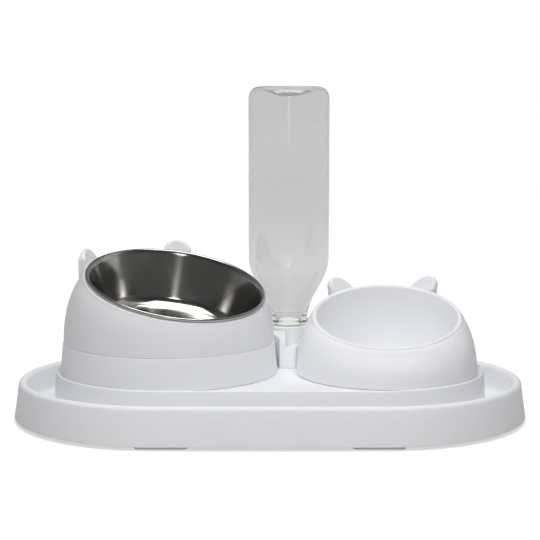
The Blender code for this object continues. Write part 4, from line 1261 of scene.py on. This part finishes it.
def make_floor():
    """Pale floor that turns white away from the object; gloss shows a share of that white, behind it only."""
    bm = bmesh.new()
    bmesh.ops.create_grid(bm, x_segments=1, y_segments=1, size=FLOOR_REACH)
    floor = object_from(bm, "floor")
    material, tree, shader = new_material("pale_floor")
    shader.inputs["Base Color"].default_value = FLOOR_COLOUR
    shader.inputs["Roughness"].default_value = FLOOR_ROUGHNESS
    shader.inputs["Specular IOR Level"].default_value = 0.0
    shader.inputs["Emission Color"].default_value = WHITE_LIGHT
    place = object_place(tree)
    distance = length_of(tree, place)
    around = eased(tree, distance, GLOW_START, GLOW_MIDDLE, FLOOR_GLOW_NEAR, FLOOR_GLOW_MIDDLE)
    beyond = eased(tree, distance, GLOW_MIDDLE, GLOW_END, 0.0, FLOOR_GLOW_FAR - FLOOR_GLOW_MIDDLE)
    glow = worked(tree, "ADD", around, beyond)
    behind = eased(tree, share_of(tree, place, "Y"), BEHIND_START, BEHIND_END, 0.0, ROOM_BACK)
    path = tree.nodes.new("ShaderNodeLightPath").outputs
    straight = worked(tree, "ADD", path["Is Camera Ray"], path["Is Transmission Ray"])
    shown = worked(tree, "MULTIPLY_ADD", path["Is Glossy Ray"], behind, straight)
    strength = worked(tree, "MULTIPLY", glow, worked(tree, "MINIMUM", shown, 1.0))
    tree.links.new(strength, shader.inputs["Emission Strength"])
    floor.data.materials.append(material)


def make_world():
    """Room that looks white straight and through clear plastic; gloss sees it dimmer in front and above."""
    world = bpy.data.worlds.new("studio")
    bpy.context.scene.world = world
    world.use_nodes = True
    tree = world.node_tree
    direction = tree.nodes.new("ShaderNodeTexCoord").outputs["Generated"]
    backdrop = eased(tree, share_of(tree, direction, "Y"), -ROOM_TURN, ROOM_TURN, ROOM_FRONT, ROOM_BACK)
    ceiling = eased(tree, share_of(tree, direction, "Z"), CEILING_START, CEILING_END, 1.0, CEILING)
    room = worked(tree, "MULTIPLY", backdrop, ceiling)
    path = tree.nodes.new("ShaderNodeLightPath").outputs
    straight = worked(tree, "MAXIMUM", path["Is Camera Ray"], path["Is Transmission Ray"])
    above_ambient = worked(tree, "SUBTRACT", room, AMBIENT)
    light = worked(tree, "MULTIPLY_ADD", path["Is Glossy Ray"], above_ambient, AMBIENT)
    strength = worked(tree, "MAXIMUM", straight, light)
    background = tree.nodes["Background"]
    background.inputs["Color"].default_value = WHITE_LIGHT
    tree.links.new(strength, background.inputs["Strength"])


def add_lamp(name, place, aim, size, power, mirrored):
    light = bpy.data.lights.new(name, "AREA")
    light.shape = "RECTANGLE"
    light.size, light.size_y = size
    light.energy = power
    lamp = bpy.data.objects.new(name, light)
    lamp.location = place
    lamp.visible_glossy = mirrored
    lamp.visible_transmission = mirrored
    lamp.rotation_euler = (Vector(aim) - Vector(place)).to_track_quat("-Z", "Y").to_euler()
    bpy.context.scene.collection.objects.link(lamp)


def make_camera():
    data = bpy.data.cameras.new("camera")
    data.lens = CAMERA_LENS
    data.sensor_width = CAMERA_SENSOR
    camera = bpy.data.objects.new("camera", data)
    back = Vector((0.0, -cos(CAMERA_DOWN), sin(CAMERA_DOWN)))
    camera.location = CAMERA_TARGET + back * CAMERA_DISTANCE
    camera.rotation_euler = (-back).to_track_quat("-Z", "Y").to_euler()
    bpy.context.scene.collection.objects.link(camera)
    bpy.context.scene.camera = camera


make_floor()
make_world()
for lamp_name, settings in LAMPS.items():
    add_lamp(lamp_name, *settings)
make_camera()
for bounces in ("max_bounces", "glossy_bounces", "transmission_bounces"):
    setattr(bpy.context.scene.cycles, bounces, CLEAR_BOUNCES)
bpy.context.scene.cycles.diffuse_bounces = WHITE_BOUNCES
bpy.context.scene.view_settings.view_transform = "Standard"
